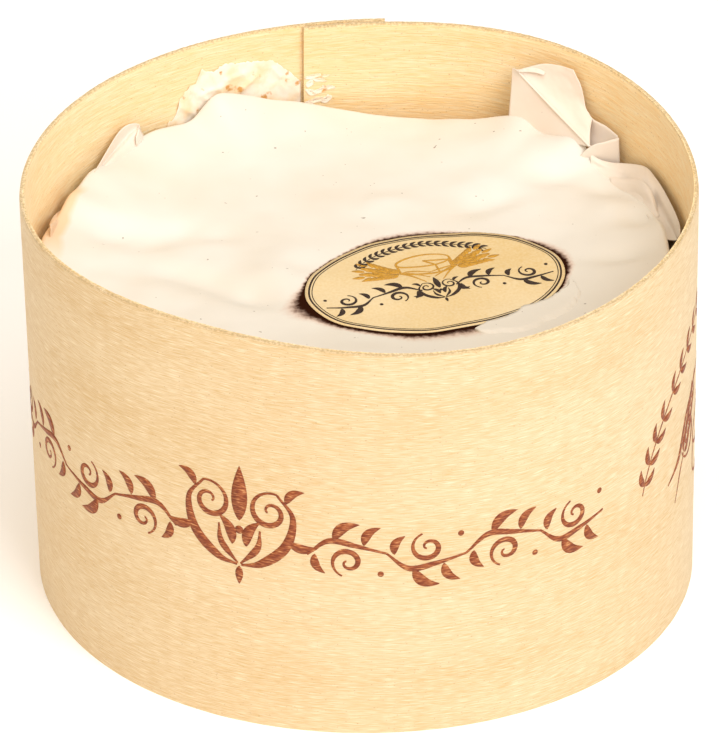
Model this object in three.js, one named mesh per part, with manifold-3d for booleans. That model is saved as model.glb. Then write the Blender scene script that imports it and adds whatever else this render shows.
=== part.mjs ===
// A small soft-ripened cheese wheel, wrapped in waxed paper with an oval paper label, standing in a
// tall round box of peeled poplar veneer that has no lid. Millimetres, +Z up. The origin is at the
// centre of the footprint's bounding box, on the plane that the box stands on. -Y is the front.
import * as THREE from "three";
import { mergeVertices } from "three/addons/utils/BufferGeometryUtils.js";
import Module from "manifold-3d";

// ---- driving dimensions -----------------------------------------------------------------------
const BOX_RADIUS = 45.5; // outside of the veneer band, mean
const BOX_HEIGHT = 59.5;
const VENEER = 0.8; // thickness of the peeled poplar
const SEAM_ANGLE = 101.5; // where the band's inner end shows inside the box, at the back
const SEAM_LAP = 15; // how far the band's outer end laps past its inner end, in degrees
const SEAM_RAMP = 38; // the band eases from one layer to the lap over this many degrees
const GLUE_LINE = 0.15; // between the two lapped layers
const BASE_THICKNESS = 2;
const CLEARANCE = 0.3; // between separate pieces
const CHEESE_RADIUS = 40;
const CHEESE_HEIGHT = 42.5;
const PAPER = 0.5; // the wrap's bulk, with its creases; the sheet itself is about 0.06 thick
const GATHER_RADIUS = 9; // the opening left where the paper is gathered under the cheese
const LABEL = { semiMajor: 18, semiMinor: 12.6, thickness: 0.25, x: 9.4, y: -6, turn: 17.5 };

// The band is a little out of round: amplitude in mm and direction in degrees of each wave.
const RIM_WAVES = [
  { lobes: 2, amplitude: 0.3, direction: 12 },
  { lobes: 3, amplitude: 1.05, direction: 177 },
  { lobes: 4, amplitude: 0.24, direction: 103 },
  { lobes: 5, amplitude: 0.33, direction: -47 },
];
const FOOT_WAVES = [{ lobes: 3, amplitude: 0.35, direction: -86 }];

const BAND_STEPS = 125;
const BAND_LEVELS = 3;
const ROUND_STEPS = 72;

const { degToRad, clamp, smoothstep, lerp } = THREE.MathUtils;

// ---- the band's shape -------------------------------------------------------------------------

// Sum of the out-of-round waves at an angle in degrees.
function wavesAt(waves, angle) {
  return waves.reduce(
    (sum, w) => sum + w.amplitude * Math.cos(degToRad(w.lobes * angle - w.direction)),
    0,
  );
}

// Outside radius of a single layer of veneer at an angle in degrees and a height.
function wallRadius(angle, z) {
  const share = clamp(z / BOX_HEIGHT, 0, 1);
  return BOX_RADIUS + lerp(wavesAt(FOOT_WAVES, angle), wavesAt(RIM_WAVES, angle), share);
}

// How far a layer is pushed out or in by the lap. Travel is in degrees from the inner end.
function lapShift(travel) {
  const half = (VENEER + GLUE_LINE) / 2;
  const inward = 1 - smoothstep(travel, SEAM_LAP, SEAM_LAP + SEAM_RAMP);
  const outward = smoothstep(travel, 360 - SEAM_RAMP, 360);
  return half * (outward - inward);
}

// Inside radius of the innermost layer, which is what stands next to the contents.
function innerRadius(angle, z) {
  const travel = THREE.MathUtils.euclideanModulo(SEAM_ANGLE - angle, 360);
  return wallRadius(angle, z) + lapShift(travel) - VENEER;
}

// The same, eased past the step at the band's inner end, for a piece that stands inside the band.
function clearRadius(angle, z) {
  return Math.min(...[-2, 0, 2].map((side) => innerRadius(angle + side, z))) - CLEARANCE;
}

function polar(radius, angle, z) {
  return [radius * Math.cos(degToRad(angle)), radius * Math.sin(degToRad(angle)), z];
}

// ---- mesh helpers -----------------------------------------------------------------------------

// A closed solid lofted through rings of points: each ring is a closed loop, and the two end rings
// are capped. Rings run anticlockwise seen from the start of the loft's travel looking back.
function loftSolid(rings) {
  const loop = rings[0].length;
  const positions = rings.flat(2);
  const indices = [];
  for (let i = 0; i + 1 < rings.length; i++) {
    for (let j = 0; j < loop; j++) {
      const a = i * loop + j;
      const b = i * loop + ((j + 1) % loop);
      indices.push(a, b, a + loop, b, b + loop, a + loop);
    }
  }
  const last = (rings.length - 1) * loop;
  for (let j = 1; j + 1 < loop; j++) {
    indices.push(0, j + 1, j, last, last + j, last + j + 1);
  }
  const geometry = new THREE.BufferGeometry();
  geometry.setAttribute("position", new THREE.Float32BufferAttribute(positions, 3));
  geometry.setIndex(indices);
  return geometry;
}

// A closed profile of [radius, z] points turned about the Z axis.
function turned(profile) {
  const points = profile.map(([r, z]) => new THREE.Vector2(r, z));
  return new THREE.LatheGeometry(points, ROUND_STEPS).rotateX(Math.PI / 2);
}

// Points of a quarter round from one direction to another, as [radius, z].
function cornerArc(centre, radius, from, to, steps = 5) {
  return Array.from({ length: steps + 1 }, (_, i) => {
    const angle = degToRad(lerp(from, to, i / steps));
    return [centre[0] + radius * Math.cos(angle), centre[1] + radius * Math.sin(angle)];
  });
}

const wasm = await Module();
wasm.setup();

function toManifold(geometry) {
  const bare = new THREE.BufferGeometry();
  bare.setAttribute("position", geometry.getAttribute("position"));
  if (geometry.index) bare.setIndex(geometry.index);
  const merged = mergeVertices(bare, 1e-4);
  return new wasm.Manifold(
    new wasm.Mesh({
      numProp: 3,
      vertProperties: merged.attributes.position.array,
      triVerts: new Uint32Array(merged.index.array),
    }),
  );
}

// Joins closed geometries into one closed geometry.
function joined(geometries) {
  const solid = geometries.map(toManifold).reduce((sum, next) => sum.add(next));
  const mesh = solid.getMesh();
  const geometry = new THREE.BufferGeometry();
  geometry.setAttribute("position", new THREE.BufferAttribute(mesh.vertProperties, 3));
  geometry.setIndex(new THREE.BufferAttribute(mesh.triVerts, 1));
  return geometry;
}

// ---- pieces -----------------------------------------------------------------------------------

function piece(name, geometry, color, roughness) {
  const material = new THREE.MeshStandardMaterial({ color, roughness, metalness: 0 });
  const mesh = new THREE.Mesh(geometry, material);
  mesh.name = name;
  return mesh;
}

// One strip of veneer, bent round with its ends lapped: the inner end first, then clockwise.
function boxBand() {
  const rings = [];
  for (let i = 0; i <= BAND_STEPS; i++) {
    const travel = (i / BAND_STEPS) * (360 + SEAM_LAP);
    const angle = SEAM_ANGLE - travel;
    const heights = Array.from({ length: BAND_LEVELS + 1 }, (_, k) => (k / BAND_LEVELS) * BOX_HEIGHT);
    const outside = (z) => wallRadius(angle, z) + lapShift(travel);
    rings.push([
      ...heights.map((z) => polar(outside(z), angle, z)),
      ...heights.reverse().map((z) => polar(outside(z) - VENEER, angle, z)),
    ]);
  }
  return piece("box_band", loftSolid(rings), "#f2d5a4", 0.6);
}

// The disc that closes the band's foot, flush with it.
function boxBase() {
  const outline = new THREE.Shape();
  for (let angle = 0; angle < 360; angle += 3) {
    const [x, y] = polar(clearRadius(angle, 0), angle, 0);
    if (angle === 0) outline.moveTo(x, y);
    else outline.lineTo(x, y);
  }
  const geometry = new THREE.ExtrudeGeometry(outline, { depth: BASE_THICKNESS, bevelEnabled: false });
  return piece("box_base", geometry, "#ecc994", 0.65);
}

const WRAP_BOTTOM = BASE_THICKNESS + CLEARANCE;
const CHEESE_BOTTOM = WRAP_BOTTOM + PAPER + CLEARANCE;
const CHEESE_TOP = CHEESE_BOTTOM + CHEESE_HEIGHT;
const WRAP_TOP = CHEESE_TOP + CLEARANCE + PAPER;
const WRAP_RADIUS = CHEESE_RADIUS + CLEARANCE + PAPER;

// The wheel: flat faces, rounded edges and a waist that slumps out a little at the foot.
function cheeseWheel() {
  const edge = 5;
  const slump = 0.3;
  const profile = [
    [0, CHEESE_BOTTOM],
    ...cornerArc([CHEESE_RADIUS - edge, CHEESE_BOTTOM + edge], edge, -90, 0),
    [CHEESE_RADIUS, CHEESE_BOTTOM + CHEESE_HEIGHT * 0.4],
    [CHEESE_RADIUS - slump, CHEESE_TOP - edge],
    ...cornerArc([CHEESE_RADIUS - edge - slump, CHEESE_TOP - edge], edge, 0, 90).slice(1, -1),
    [CHEESE_RADIUS - edge - slump, CHEESE_TOP],
    [0, CHEESE_TOP],
  ];
  return piece("cheese_wheel", turned(profile), "#f6efdc", 0.85);
}

// The shell of paper that follows the wheel, open in the middle of its underside.
function wrapShell() {
  const edge = 5.6;
  const inner = WRAP_RADIUS - PAPER;
  const profile = [
    [GATHER_RADIUS, WRAP_BOTTOM],
    ...cornerArc([WRAP_RADIUS - edge, WRAP_BOTTOM + edge], edge, -90, 0),
    ...cornerArc([WRAP_RADIUS - edge, WRAP_TOP - edge], edge, 0, 90),
    [0, WRAP_TOP],
  ];
  const inside = [
    [0, WRAP_TOP - PAPER],
    ...cornerArc([inner - edge + PAPER, WRAP_TOP - edge], edge - PAPER, 90, 0),
    ...cornerArc([inner - edge + PAPER, WRAP_BOTTOM + edge], edge - PAPER, 0, -90),
    [GATHER_RADIUS, WRAP_BOTTOM + PAPER],
    [GATHER_RADIUS, WRAP_BOTTOM],
  ];
  return turned([...profile, ...inside]);
}

// A loose fold of the paper that stands up from the wheel's shoulder and leans to the wall.
// Its crest is a list of [angle, height] from left to right as seen from the front.
const FOLD_FOOT = WRAP_TOP - 9;
const FOLDS = [
  { name: "left", lean: 1.6, crest: [[168, 46], [160, 49.2], [150, 48.6], [142, 50], [134, 49.4]] },
  { name: "rear", lean: 0.9, crest: [[127, 46.5], [121, 50], [118, 51], [110, 49], [101, 46]] },
  { name: "ear", lean: 3.2, crest: [[64, 47], [61.5, 56], [52, 56.8], [47, 52], [42, 50.5]] },
  { name: "right", lean: 1.8, crest: [[39, 48], [32, 49.5], [22, 49], [14, 46.5]] },
];

function wrapFold({ lean, crest }) {
  const path = new THREE.CatmullRomCurve3(crest.map(([angle, z]) => new THREE.Vector3(angle, 0, z)));
  const thickness = PAPER * 1.2;
  const rings = path.getPoints(14).map(({ x: angle, z }) => {
    const foot = WRAP_RADIUS + thickness - PAPER;
    return [
      polar(foot, angle, FOLD_FOOT),
      polar(foot + lean, angle, z),
      polar(foot + lean - thickness, angle, z),
      polar(foot - thickness, angle, FOLD_FOOT),
    ].reverse();
  });
  return loftSolid(rings.reverse());
}

function wrapPaper() {
  return piece("wrap_paper", joined([wrapShell(), ...FOLDS.map(wrapFold)]), "#fbf6ea", 0.5);
}

// A torn scrap of the same paper, stuck to the wall beside the seam.
const SCRAP_FOOT = 43.5;
const SCRAP_CREST = [[126, 46.5], [121, 51], [114, 55.5], [108, 55.5], [104, 51]];

function tornScrap() {
  const path = new THREE.CatmullRomCurve3(
    SCRAP_CREST.map(([angle, z]) => new THREE.Vector3(angle, 0, z)),
  );
  const rings = path.getPoints(20).map(({ x: angle, z }) => [
    polar(clearRadius(angle, SCRAP_FOOT), angle, SCRAP_FOOT),
    polar(clearRadius(angle, z), angle, z),
    polar(clearRadius(angle, z) - PAPER, angle, z),
    polar(clearRadius(angle, SCRAP_FOOT) - PAPER, angle, SCRAP_FOOT),
  ]);
  return piece("torn_paper_scrap", loftSolid(rings), "#f7e6d2", 0.45);
}

// The printed oval, which lies on the paper off the middle of the wheel.
function ovalLabel() {
  const outline = new THREE.Shape();
  outline.absellipse(0, 0, LABEL.semiMajor, LABEL.semiMinor, 0, 2 * Math.PI, false, 0);
  const geometry = new THREE.ExtrudeGeometry(outline, {
    depth: LABEL.thickness,
    bevelEnabled: false,
    curveSegments: 40,
  });
  const label = piece("oval_label", geometry, "#f3d9a0", 0.35);
  label.rotation.z = degToRad(LABEL.turn);
  label.position.set(LABEL.x, LABEL.y, WRAP_TOP + CLEARANCE);
  return label;
}

// ---- assembly ---------------------------------------------------------------------------------

const cheeseInBox = new THREE.Group();
cheeseInBox.add(boxBand(), boxBase(), cheeseWheel(), wrapPaper(), tornScrap(), ovalLabel());

// The out-of-round rim shifts the bounding box, so the whole assembly is centred on the origin.
const bounds = new THREE.Box3().setFromObject(cheeseInBox);
const centre = bounds.getCenter(new THREE.Vector3());
cheeseInBox.position.set(-centre.x, -centre.y, 0);

export default cheeseInBox;
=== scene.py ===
"""A soft-ripened cheese wheel in waxed paper, in an open round box of peeled poplar veneer.

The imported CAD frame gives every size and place. Lengths in this file are millimetres and angles are
degrees, measured from +X towards +Y around the box's upright axis, unless a name says otherwise.
"""

import logging
import math
from dataclasses import dataclass
from enum import Enum

import bpy
import numpy as np
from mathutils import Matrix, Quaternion, Vector, noise


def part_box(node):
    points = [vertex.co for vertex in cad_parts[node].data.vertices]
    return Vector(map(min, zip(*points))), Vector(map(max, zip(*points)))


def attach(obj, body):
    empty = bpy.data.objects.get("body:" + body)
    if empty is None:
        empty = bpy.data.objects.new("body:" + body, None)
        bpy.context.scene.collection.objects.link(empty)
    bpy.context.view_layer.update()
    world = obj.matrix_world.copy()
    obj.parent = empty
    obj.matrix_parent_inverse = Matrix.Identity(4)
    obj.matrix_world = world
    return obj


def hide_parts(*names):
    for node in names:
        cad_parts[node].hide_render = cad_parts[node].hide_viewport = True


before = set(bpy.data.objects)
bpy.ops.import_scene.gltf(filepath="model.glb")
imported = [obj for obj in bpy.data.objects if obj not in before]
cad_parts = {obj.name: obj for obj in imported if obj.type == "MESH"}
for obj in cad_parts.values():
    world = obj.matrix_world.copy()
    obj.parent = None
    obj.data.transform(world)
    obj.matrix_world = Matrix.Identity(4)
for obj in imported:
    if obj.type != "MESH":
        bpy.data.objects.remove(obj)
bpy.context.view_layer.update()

MM = 0.001
ROOT = "root"
log = logging.getLogger("cheese_wheel")

# The kinds of node that most of the trees are made of.
MATH, VECTOR, RANGE = "ShaderNodeMath", "ShaderNodeVectorMath", "ShaderNodeMapRange"
NOISE, MIX, BUMP = "ShaderNodeTexNoise", "ShaderNodeMix", "ShaderNodeBump"
SPLIT, JOIN, PLACE = "ShaderNodeSeparateXYZ", "ShaderNodeCombineXYZ", "ShaderNodeTexCoord"

# Short names for the types that the helpers pass round.
Array, Tree, Node, Socket = np.ndarray, bpy.types.NodeTree, bpy.types.Node, bpy.types.NodeSocket
Piece, Material = bpy.types.Object, bpy.types.Material


# ---- places that the frame gives --------------------------------------------------------------


def cad_box(node: str) -> tuple[Array, Array]:
    """Find where a CAD node is.

    Args:
        node: The node's name.

    Returns:
        Its lowest and highest corners, in millimetres.
    """
    low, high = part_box(node)
    return np.array(low) / MM, np.array(high) / MM


WHEEL_LOW, WHEEL_HIGH = cad_box("cheese_wheel")
LABEL_LOW, LABEL_HIGH = cad_box("oval_label")
WRAP_LOW = cad_box("wrap_paper")[0]
BAND_HIGH = cad_box("box_band")[1]
AXIS = ((WHEEL_LOW + WHEEL_HIGH) / 2)[:2]
PLATEAU = LABEL_LOW[2]


# ---- general helpers --------------------------------------------------------------------------


def linear(code: str) -> tuple[float, float, float, float]:
    """Turn an sRGB hex colour to linear RGBA.

    Args:
        code: The colour, as "#rrggbb".

    Returns:
        The linear colour, opaque.
    """
    parts = [int(code[i : i + 2], 16) / 255 for i in (1, 3, 5)]
    return (*[c / 12.92 if c <= 0.04045 else ((c + 0.055) / 1.055) ** 2.4 for c in parts], 1.0)


def add_node(
    tree: Tree, kind: str, inputs: dict | None = None, operation: str | None = None, **settings
) -> Node:
    """Add a node with its settings, values and links.

    Args:
        tree: The node tree that the node joins.
        kind: The node's Blender type.
        inputs: For each input's name or index, a value, a socket, or a node whose first output is used.
        operation: What a maths node does.
        **settings: Other properties of the node.

    Returns:
        The new node.
    """
    node = tree.nodes.new(kind)
    if operation:
        node.operation = operation
    for key, value in settings.items():
        setattr(node, key, value)
    for key, value in (inputs or {}).items():
        if isinstance(value, Node):
            value = next(output for output in value.outputs if output.enabled)
        if isinstance(value, Socket):
            tree.links.new(value, node.inputs[key])
        else:
            node.inputs[key].default_value = value
    return node


def polar(azimuth: Array, radius: Array, height: Array) -> Array:
    """Place points by azimuth, radius and height around the box's axis.

    Args:
        azimuth: Angles in degrees.
        radius: Distances from the axis.
        height: Heights over the floor.

    Returns:
        The points, in millimetres, one per row of the last axis.
    """
    turn = np.radians(azimuth)
    x = AXIS[0] + radius * np.cos(turn)
    y = AXIS[1] + radius * np.sin(turn)
    return np.stack(np.broadcast_arrays(x, y, height), axis=-1)


def spline(knots: Array, samples: int) -> Array:
    """Run a Catmull-Rom curve through knots along the first axis.

    Args:
        knots: The knots; further axes are carried along.
        samples: How many points to return.

    Returns:
        The points, evenly spread over the curve's parameter.
    """
    knots = np.asarray(knots, float)
    ends = np.concatenate([2 * knots[:1] - knots[1:2], knots, 2 * knots[-1:] - knots[-2:-1]])
    place = np.linspace(0, len(knots) - 1, samples)
    start = np.minimum(place.astype(int), len(knots) - 2)
    share = (place - start).reshape((-1,) + (1,) * (knots.ndim - 1))
    a, b, c, d = (ends[start + step] for step in range(4))
    curve = 2 * b + (c - a) * share + (2 * a - 5 * b + 4 * c - d) * share**2
    return (curve + (3 * b - a - 3 * c + d) * share**3) / 2


def grid_faces(rows: int, columns: int, closed: bool = False, first: int = 0) -> list[tuple[int, ...]]:
    """List the quads of a grid of points stored row by row.

    Args:
        rows: How many rows of points.
        columns: How many points in a row.
        closed: Whether the last column joins the first.
        first: The index of the grid's first point.

    Returns:
        One tuple of point indices for each quad.
    """
    faces = []
    for row in range(rows - 1):
        for column in range(columns if closed else columns - 1):
            a = first + row * columns + column
            b = first + row * columns + (column + 1) % columns
            faces.append((a, b, b + columns, a + columns))
    return faces


def grain(points: Array, scale: float, seed: float, depth: int = 3) -> Array:
    """Sample smooth random relief.

    Args:
        points: Positions in millimetres, one per row.
        scale: The size of its bumps in millimetres.
        seed: Moves the sample, so that two reliefs differ.
        depth: How many octaves of finer relief it holds.

    Returns:
        A value of about -1 to 1 for each position.
    """
    shift = Vector((seed, 2.3 * seed, -1.7 * seed))
    return np.array(
        [noise.fractal(Vector(p) / scale + shift, 0.8, 2.1, depth) for p in points.reshape(-1, 3)]
    ).reshape(points.shape[:-1])


def add_mesh(name: str, points: Array, faces: list, material: Material) -> Piece:
    """Make a smooth-shaded mesh piece at the origin.

    Args:
        name: The piece's name.
        points: Its points in millimetres.
        faces: Its faces, as tuples of point indices.
        material: What it is made of.

    Returns:
        The new object.
    """
    mesh = bpy.data.meshes.new(name)
    mesh.from_pydata((np.asarray(points).reshape(-1, 3) * MM).tolist(), [], faces)
    mesh.materials.append(material)
    mesh.shade_smooth()
    piece = bpy.data.objects.new(name, mesh)
    bpy.context.scene.collection.objects.link(piece)
    return piece


def thicken(piece: Piece, thickness: float, offset: float) -> None:
    """Give a sheet its thickness.

    Args:
        piece: The sheet.
        thickness: In millimetres.
        offset: From -1, all behind its face, to 1, all before it.
    """
    solid = piece.modifiers.new("thickness", "SOLIDIFY")
    solid.thickness = thickness * MM
    solid.offset = offset


def start_tree(name: str, inputs: dict[str, str], output: tuple[str, str]) -> tuple:
    """Start a geometry node tree with named inputs.

    Args:
        name: The tree's name.
        inputs: For each input's name, its kind.
        output: The output's name and kind.

    Returns:
        The tree, and the sockets that its inputs arrive at.
    """
    tree = bpy.data.node_groups.new(name, "GeometryNodeTree")
    for label, kind in inputs.items():
        tree.interface.new_socket(label, in_out="INPUT", socket_type="NodeSocket" + kind)
    tree.interface.new_socket(output[0], in_out="OUTPUT", socket_type="NodeSocket" + output[1])
    return tree, add_node(tree, "NodeGroupInput").outputs


def end_tree(
    tree: Tree, flat: Node, strip: Node, place: Node,
    material: Socket,
) -> None:
    """End a tree that bends a flat thing: keep its flat places, move it, realize it and dress it.

    Args:
        tree: The tree.
        flat: The flat geometry.
        strip: Each point's place on the flat, in millimetres, which the finishes read.
        place: Where each point goes.
        material: What the piece is made of.
    """
    named = add_node(
        tree, "GeometryNodeStoreNamedAttribute", {"Geometry": flat, "Name": "strip", "Value": strip},
        data_type="FLOAT_VECTOR",
    )
    placed = add_node(tree, "GeometryNodeSetPosition", {"Geometry": named, "Position": place})
    real = add_node(tree, "GeometryNodeRealizeInstances", {"Geometry": placed})
    made = add_node(tree, "GeometryNodeSetMaterial", {"Geometry": real, "Material": material})
    add_node(tree, "NodeGroupOutput", {"Geometry": made})


def run_tree(name: str, tree: Tree, source: bpy.types.ID, values: dict, material: Material) -> Piece:
    """Run a geometry node tree once and keep its result as a plain mesh.

    Args:
        name: The piece's name.
        tree: The geometry node tree.
        source: The mesh or curve data that the tree starts from.
        values: A value for each named input of the tree.
        material: What the piece is made of.

    Returns:
        The new object, with no modifier.
    """
    maker = bpy.data.objects.new(name + "_maker", source)
    bpy.context.scene.collection.objects.link(maker)
    modifier = maker.modifiers.new("nodes", "NODES")
    modifier.node_group = tree
    for item in tree.interface.items_tree:
        if item.item_type == "SOCKET" and item.in_out == "INPUT" and item.name in values:
            modifier[item.identifier] = values[item.name]
    evaluated = maker.evaluated_get(bpy.context.evaluated_depsgraph_get())
    mesh = bpy.data.meshes.new_from_object(evaluated)
    mesh.name = name
    mesh.materials.clear()
    mesh.materials.append(material)
    bpy.data.objects.remove(maker)
    piece = bpy.data.objects.new(name, mesh)
    bpy.context.scene.collection.objects.link(piece)
    return piece


def hand_in(piece: Piece, node: str | None = None) -> Piece:
    """Tell the frame about a finished piece.

    Args:
        piece: The finished piece.
        node: The CAD node that it stands for, if any.

    Returns:
        The same piece.
    """
    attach(piece, ROOT)
    if node:
        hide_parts(node)
    log.info("%s: %d faces", piece.name, len(piece.data.polygons))
    return piece


# ---- finishes ---------------------------------------------------------------------------------


def patches(
    tree: Tree, place: Socket | Node, scale: float, detail: float,
    reach: tuple[float, float], strength: float = 1.0,
) -> Node:
    """Scatter soft patches over a surface.

    Args:
        tree: The material's tree.
        place: Where each point of the surface is.
        scale: How many patches one unit of place holds.
        detail: How many octaves of finer patches there are.
        reach: The noise at which a patch starts, and at which it is full.
        strength: How much a full patch shows.

    Returns:
        The node that gives how much shows.
    """
    pattern = add_node(tree, NOISE, {"Vector": place, "Scale": scale, "Detail": detail})
    limits = {"From Min": reach[0], "From Max": reach[1], "To Max": strength}
    return add_node(tree, RANGE, {"Value": pattern, **limits})


def layered(tree: Tree, ground: str, layers: list[tuple]) -> Socket:
    """Lay colours over a ground, one after another.

    Args:
        tree: The material's tree.
        ground: The colour underneath, as "#rrggbb".
        layers: For each layer, how much of it shows, and its colour as "#rrggbb" or a socket.

    Returns:
        The colour that they make together.
    """
    colour = linear(ground)
    for share, over in layers:
        over = linear(over) if isinstance(over, str) else over
        colour = add_node(tree, MIX, {0: share, 6: colour, 7: over}, data_type="RGBA").outputs[2]
    return colour


def dress(
    tree: Tree, shader: Node, colour: Socket,
    relief: Node | None = None, height: float = 0.0, strength: float = 0.7,
) -> None:
    """Give a shader its colour and its fine relief.

    Args:
        tree: The material's tree.
        shader: The shader.
        colour: Its colour.
        relief: The pattern that stands up from the surface, if any.
        height: How high the pattern stands, in millimetres.
        strength: How much of the relief shows.
    """
    tree.links.new(colour, shader.inputs["Base Color"])
    if relief:
        bump = add_node(tree, BUMP, {"Height": relief, "Distance": height * MM, "Strength": strength})
        tree.links.new(bump.outputs[0], shader.inputs["Normal"])


@dataclass(frozen=True)
class Finish:
    """A surface finish: a Principled shader that each kind of finish completes."""

    name: str
    roughness: float = 0.6
    ior: float = 1.45

    def material(self) -> Material:
        """Make the finish's material."""
        material = bpy.data.materials.new(self.name)
        material.use_nodes = True
        shader = material.node_tree.nodes["Principled BSDF"]
        shader.inputs["Roughness"].default_value = self.roughness
        shader.inputs["IOR"].default_value = self.ior
        self.wire(material.node_tree, shader)
        return material

    def wire(self, tree: Tree, shader: Node) -> None:
        """Add the finish's own nodes to its shader."""
        raise NotImplementedError


class GrainSource(Enum):
    """Where a wood finish reads the direction of its fibres."""

    STRIP = "strip"
    OBJECT = "object"


@dataclass(frozen=True)
class PeeledPoplar(Finish):
    """Rotary-peeled poplar, unfinished: pale cream, silky, with its short fibres showing.

    The peeling lathe leaves the fibres lying along the strip, as pale and golden streaks a millimetre
    or two long, a little wavy, over faint bands of early and late wood; the palest streaks are partly
    painted highlights for the wood's silky sheen. The face that is bent inwards is painted paler than
    the outer one, as painted light for the glow that the white paper throws onto the inside of the
    wall. The rim's torn fibre ends have browned in patches.
    """

    source: GrainSource = GrainSource.STRIP
    pale: str = "#e9d6b3"
    gold: str = "#cda86c"
    # Painted light: the inner face's colours are paler, standing in for light that the white paper throws
    # onto the inside of the wall.
    inner_pale_lit: str = "#ffefc9"
    inner_gold_lit: str = "#f6cb84"
    # The palest fibres are partly real pale wood and partly a painted highlight of silky sheen.
    streak: str = "#fff3d8"
    speck: str = "#9a6a3c"
    edge: str = "#a08655"
    edge_depth: float = 0.5
    fibre_length: float = 2.8
    fibre_width: float = 0.18
    band_width: float = 6.0
    sway_length: float = 16.0
    sway_width: float = 9.0
    waviness: float = 1.1
    veneer: float = 0.8
    relief: float = 0.05

    def wire(self, tree: Tree, shader: Node) -> None:
        """Wire the fibres, bands and specks in millimetres along and across the strip."""
        if self.source is GrainSource.STRIP:
            flat = add_node(tree, "ShaderNodeAttribute", attribute_name="strip").outputs["Vector"]
        else:
            place = add_node(tree, PLACE).outputs["Object"]
            flat = add_node(tree, VECTOR, {0: place, 1: (1 / MM,) * 3}, "MULTIPLY").outputs[0]
        lay = (1 / self.sway_length, 1 / self.sway_width, 1 / self.sway_width)
        sway = add_node(tree, VECTOR, {0: flat, 1: lay}, "MULTIPLY")
        sway = add_node(tree, NOISE, {"Vector": sway, "Scale": 1.0, "Detail": 1.0})
        sway = add_node(tree, MATH, {0: sway, 1: self.waviness}, "MULTIPLY")
        sway = add_node(tree, JOIN, {1: sway})
        start = add_node(tree, VECTOR, {0: flat, 1: sway}, "ADD")
        along, across, band = 1 / self.fibre_length, 1 / self.fibre_width, 1 / self.band_width
        layers = {}
        for layer, scale, detail, reach, strength in (
            ("bands", (along / 25, band, band), 3, (0.3, 0.7), 1.0),
            ("clouds", (0.05, 0.09, 0.09), 2, (0.35, 0.65), 1.0),
            ("fibres", (along, across, across), 2, (0.34, 0.66), 1.0),
            ("threads", (along * 1.4, across * 1.9, across * 1.9), 1, (0.32, 0.68), 1.0),
            ("streaks", (along * 1.1, across * 1.5, across), 1, (0.55, 0.74), 0.5),
            ("specks", (2.6, 4.0, 4.0), 0, (0.77, 0.8), 0.35),
        ):
            stretched = add_node(tree, VECTOR, {0: start, 1: scale}, "MULTIPLY")
            layers[layer] = patches(tree, stretched, 1.0, detail, reach, strength)
        share = 0.0
        for layer, weight in (("bands", 0.2), ("clouds", 0.1), ("fibres", 0.32), ("threads", 0.38)):
            terms = {0: layers[layer], 1: weight, 2: share}
            share = add_node(tree, MATH, terms, "MULTIPLY_ADD")
        # Painted light: past half the veneer's depth, the inner face is tinted paler and brighter.
        depth = add_node(tree, SPLIT, {0: flat}).outputs["Z"]
        limits = {"From Min": 0.4 * self.veneer, "From Max": 0.9 * self.veneer}
        inside = add_node(tree, RANGE, {"Value": depth, **limits})
        inner = layered(tree, self.inner_pale_lit, [(share, self.inner_gold_lit)])
        tints = [(share, self.gold), (inside, inner)]
        # The streaks lay pale fibres and a painted silky highlight over the wood.
        tints += [(layers["streaks"], self.streak), (layers["specks"], self.speck)]
        if self.source is GrainSource.STRIP:
            tints.append((self.torn_ends(tree, flat), self.edge))
        dress(tree, shader, layered(tree, self.pale, tints), layers["fibres"], self.relief, 0.6)

    def torn_ends(self, tree: Tree, flat: Socket) -> Node:
        """Find the browned patches of the rim's torn fibre ends.

        Args:
            tree: The material's tree.
            flat: Place along and up the strip, in millimetres.

        Returns:
            The node that gives how brown the wood is.
        """
        height = add_node(tree, SPLIT, {0: flat}).outputs["Y"]
        top = float(BAND_HIGH[2])
        limits = {"From Min": top - self.edge_depth, "From Max": top - 0.1 * self.edge_depth}
        near = add_node(tree, RANGE, {"Value": height, **limits})
        ends = add_node(tree, VECTOR, {0: flat, 1: (3.0, 2.5, 2.5)}, "MULTIPLY")
        torn = patches(tree, ends, 1.0, 3.0, (0.4, 0.62), 0.5)
        return add_node(tree, MATH, {0: near, 1: torn}, "MULTIPLY")


@dataclass(frozen=True)
class StampedInk(Finish):
    """Warm brown ink stamped on raw veneer: it soaks in along the fibres and skips the pits."""

    deep: str = "#7a3312"
    worn: str = "#a65c30"
    bare: str = "#d49a63"
    fibre_length: float = 1.1
    fibre_width: float = 0.22

    def wire(self, tree: Tree, shader: Node) -> None:
        """Wire the ink's soaked and skipped fibres."""
        strip = add_node(tree, "ShaderNodeAttribute", attribute_name="strip").outputs["Vector"]
        scale = (1 / self.fibre_length, 1 / self.fibre_width, 1 / self.fibre_width)
        fibres = add_node(tree, VECTOR, {0: strip, 1: scale}, "MULTIPLY")
        soaked = patches(tree, fibres, 1.0, 2.0, (0.4, 0.6))
        skipped = patches(tree, fibres, 1.0, 2.0, (0.6, 0.72))
        dress(tree, shader, layered(tree, self.deep, [(soaked, self.worn), (skipped, self.bare)]))


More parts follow.
